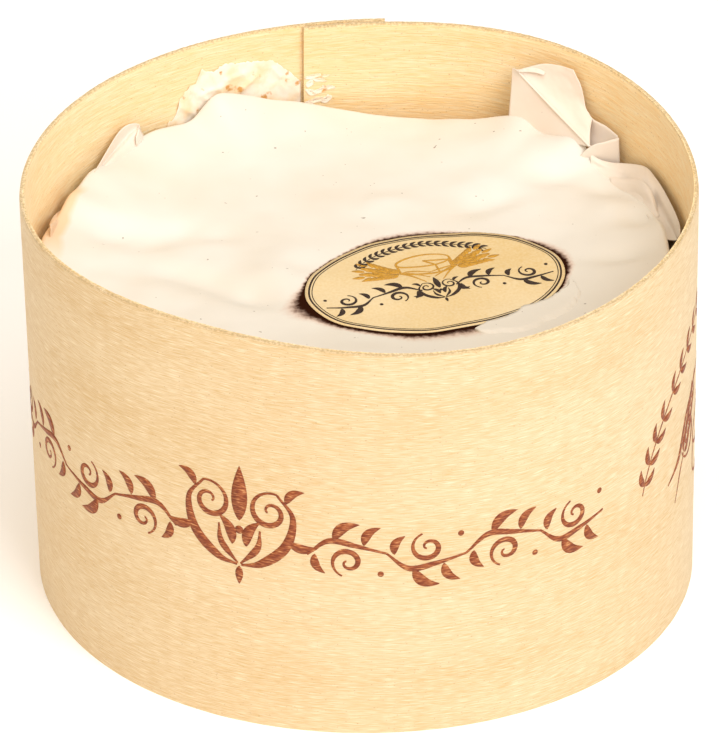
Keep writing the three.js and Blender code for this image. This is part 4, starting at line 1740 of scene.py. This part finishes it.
@dataclass
class Studio:
    """A white floor, soft lights and the camera."""

    distance: float = 869.5
    elevation: float = 31.706
    roll: float = -0.062
    aim_offset: float = -0.85
    aim_height: float = 28.2
    lens: float = 303.3
    light_distance: float = 0.9
    light_aim: float = 0.03
    floor_side: float = 3000.0
    world: str = "#fff6e8"
    world_strength: float = 0.6
    # Each light is its name, azimuth, elevation, side in metres, power in watts and colour.
    lights: tuple = (
        ("key", -60, 37, 0.45, 4.5, "#fafbff"),
        ("fill", -142, 48, 0.6, 1.3, "#ffd9a8"),
        ("top", -66, 78, 0.7, 3.35, "#fffefb"),
    )

    def camera(self) -> None:
        """Set the camera up, in front of the box and looking down on it."""
        data = bpy.data.cameras.new("camera")
        data.lens = self.lens
        data.sensor_width = 36.0
        data.clip_end = 10.0
        tilt = math.radians(self.elevation)
        aim = np.array([AXIS[0] + self.aim_offset, AXIS[1], self.aim_height])
        back = np.array([0.0, -math.cos(tilt), math.sin(tilt)])
        camera = bpy.data.objects.new("camera", data)
        camera.location = Vector((aim + self.distance * back) * MM)
        level = Quaternion((1, 0, 0), math.pi / 2 - tilt)
        camera.rotation_mode = "QUATERNION"
        camera.rotation_quaternion = level @ Quaternion((0, 0, 1), math.radians(self.roll))
        bpy.context.scene.collection.objects.link(camera)
        bpy.context.scene.camera = camera

    def light(
        self, name: str, azimuth: float, elevation: float, size: float, power: float, colour: str
    ) -> None:
        """Hang a soft square light that looks at the box.

        Args:
            name: The light's name.
            azimuth: Its direction round the box, in degrees.
            elevation: Its height over the horizon, in degrees.
            size: Its side, in metres.
            power: In watts.
            colour: Its colour, as "#rrggbb".
        """
        data = bpy.data.lights.new(name, "AREA")
        data.size = size
        data.energy = power
        data.color = linear(colour)[:3]
        lamp = bpy.data.objects.new(name, data)
        a, e = math.radians(azimuth), math.radians(elevation)
        way = Vector((math.cos(a) * math.cos(e), math.sin(a) * math.cos(e), math.sin(e)))
        lamp.location = way * self.light_distance + Vector((0, 0, self.light_aim))
        lamp.rotation_mode = "QUATERNION"
        lamp.rotation_quaternion = way.to_track_quat("Z", "Y")
        bpy.context.scene.collection.objects.link(lamp)

    def build(self) -> None:
        """Build the floor, the lights and the camera."""
        self.camera()
        side = self.floor_side
        corners = np.array([(-side, -side, 0), (side, -side, 0), (side, side, 0), (-side, side, 0)])
        board = StudioFloor("white_board", roughness=0.8).material()
        add_mesh("floor", corners, [(0, 1, 2, 3)], board)
        for light in self.lights:
            self.light(*light)
        world = bpy.data.worlds.new("studio")
        world.use_nodes = True
        sky = world.node_tree.nodes["Background"].inputs
        sky["Color"].default_value = linear(self.world)
        sky["Strength"].default_value = self.world_strength
        bpy.context.scene.world = world
        bpy.context.scene.view_settings.view_transform = "Standard"


def main() -> None:
    """Build the object and the studio, piece by piece."""
    logging.basicConfig(level=logging.INFO, format="%(name)s: %(message)s")
    Studio().build()
    bend = VeneerBend()
    box = VeneerBox(bend)
    box.build()
    WallPrint(box).build()
    wall = WallRadius(bend)
    wrap = WaxedWrap()
    CheeseWheel().build(wrap)
    wrap.build(wall)
    OvalLabel().build(wrap)
    TornScrap().build(wall)


if __name__ == "__main__":
    main()
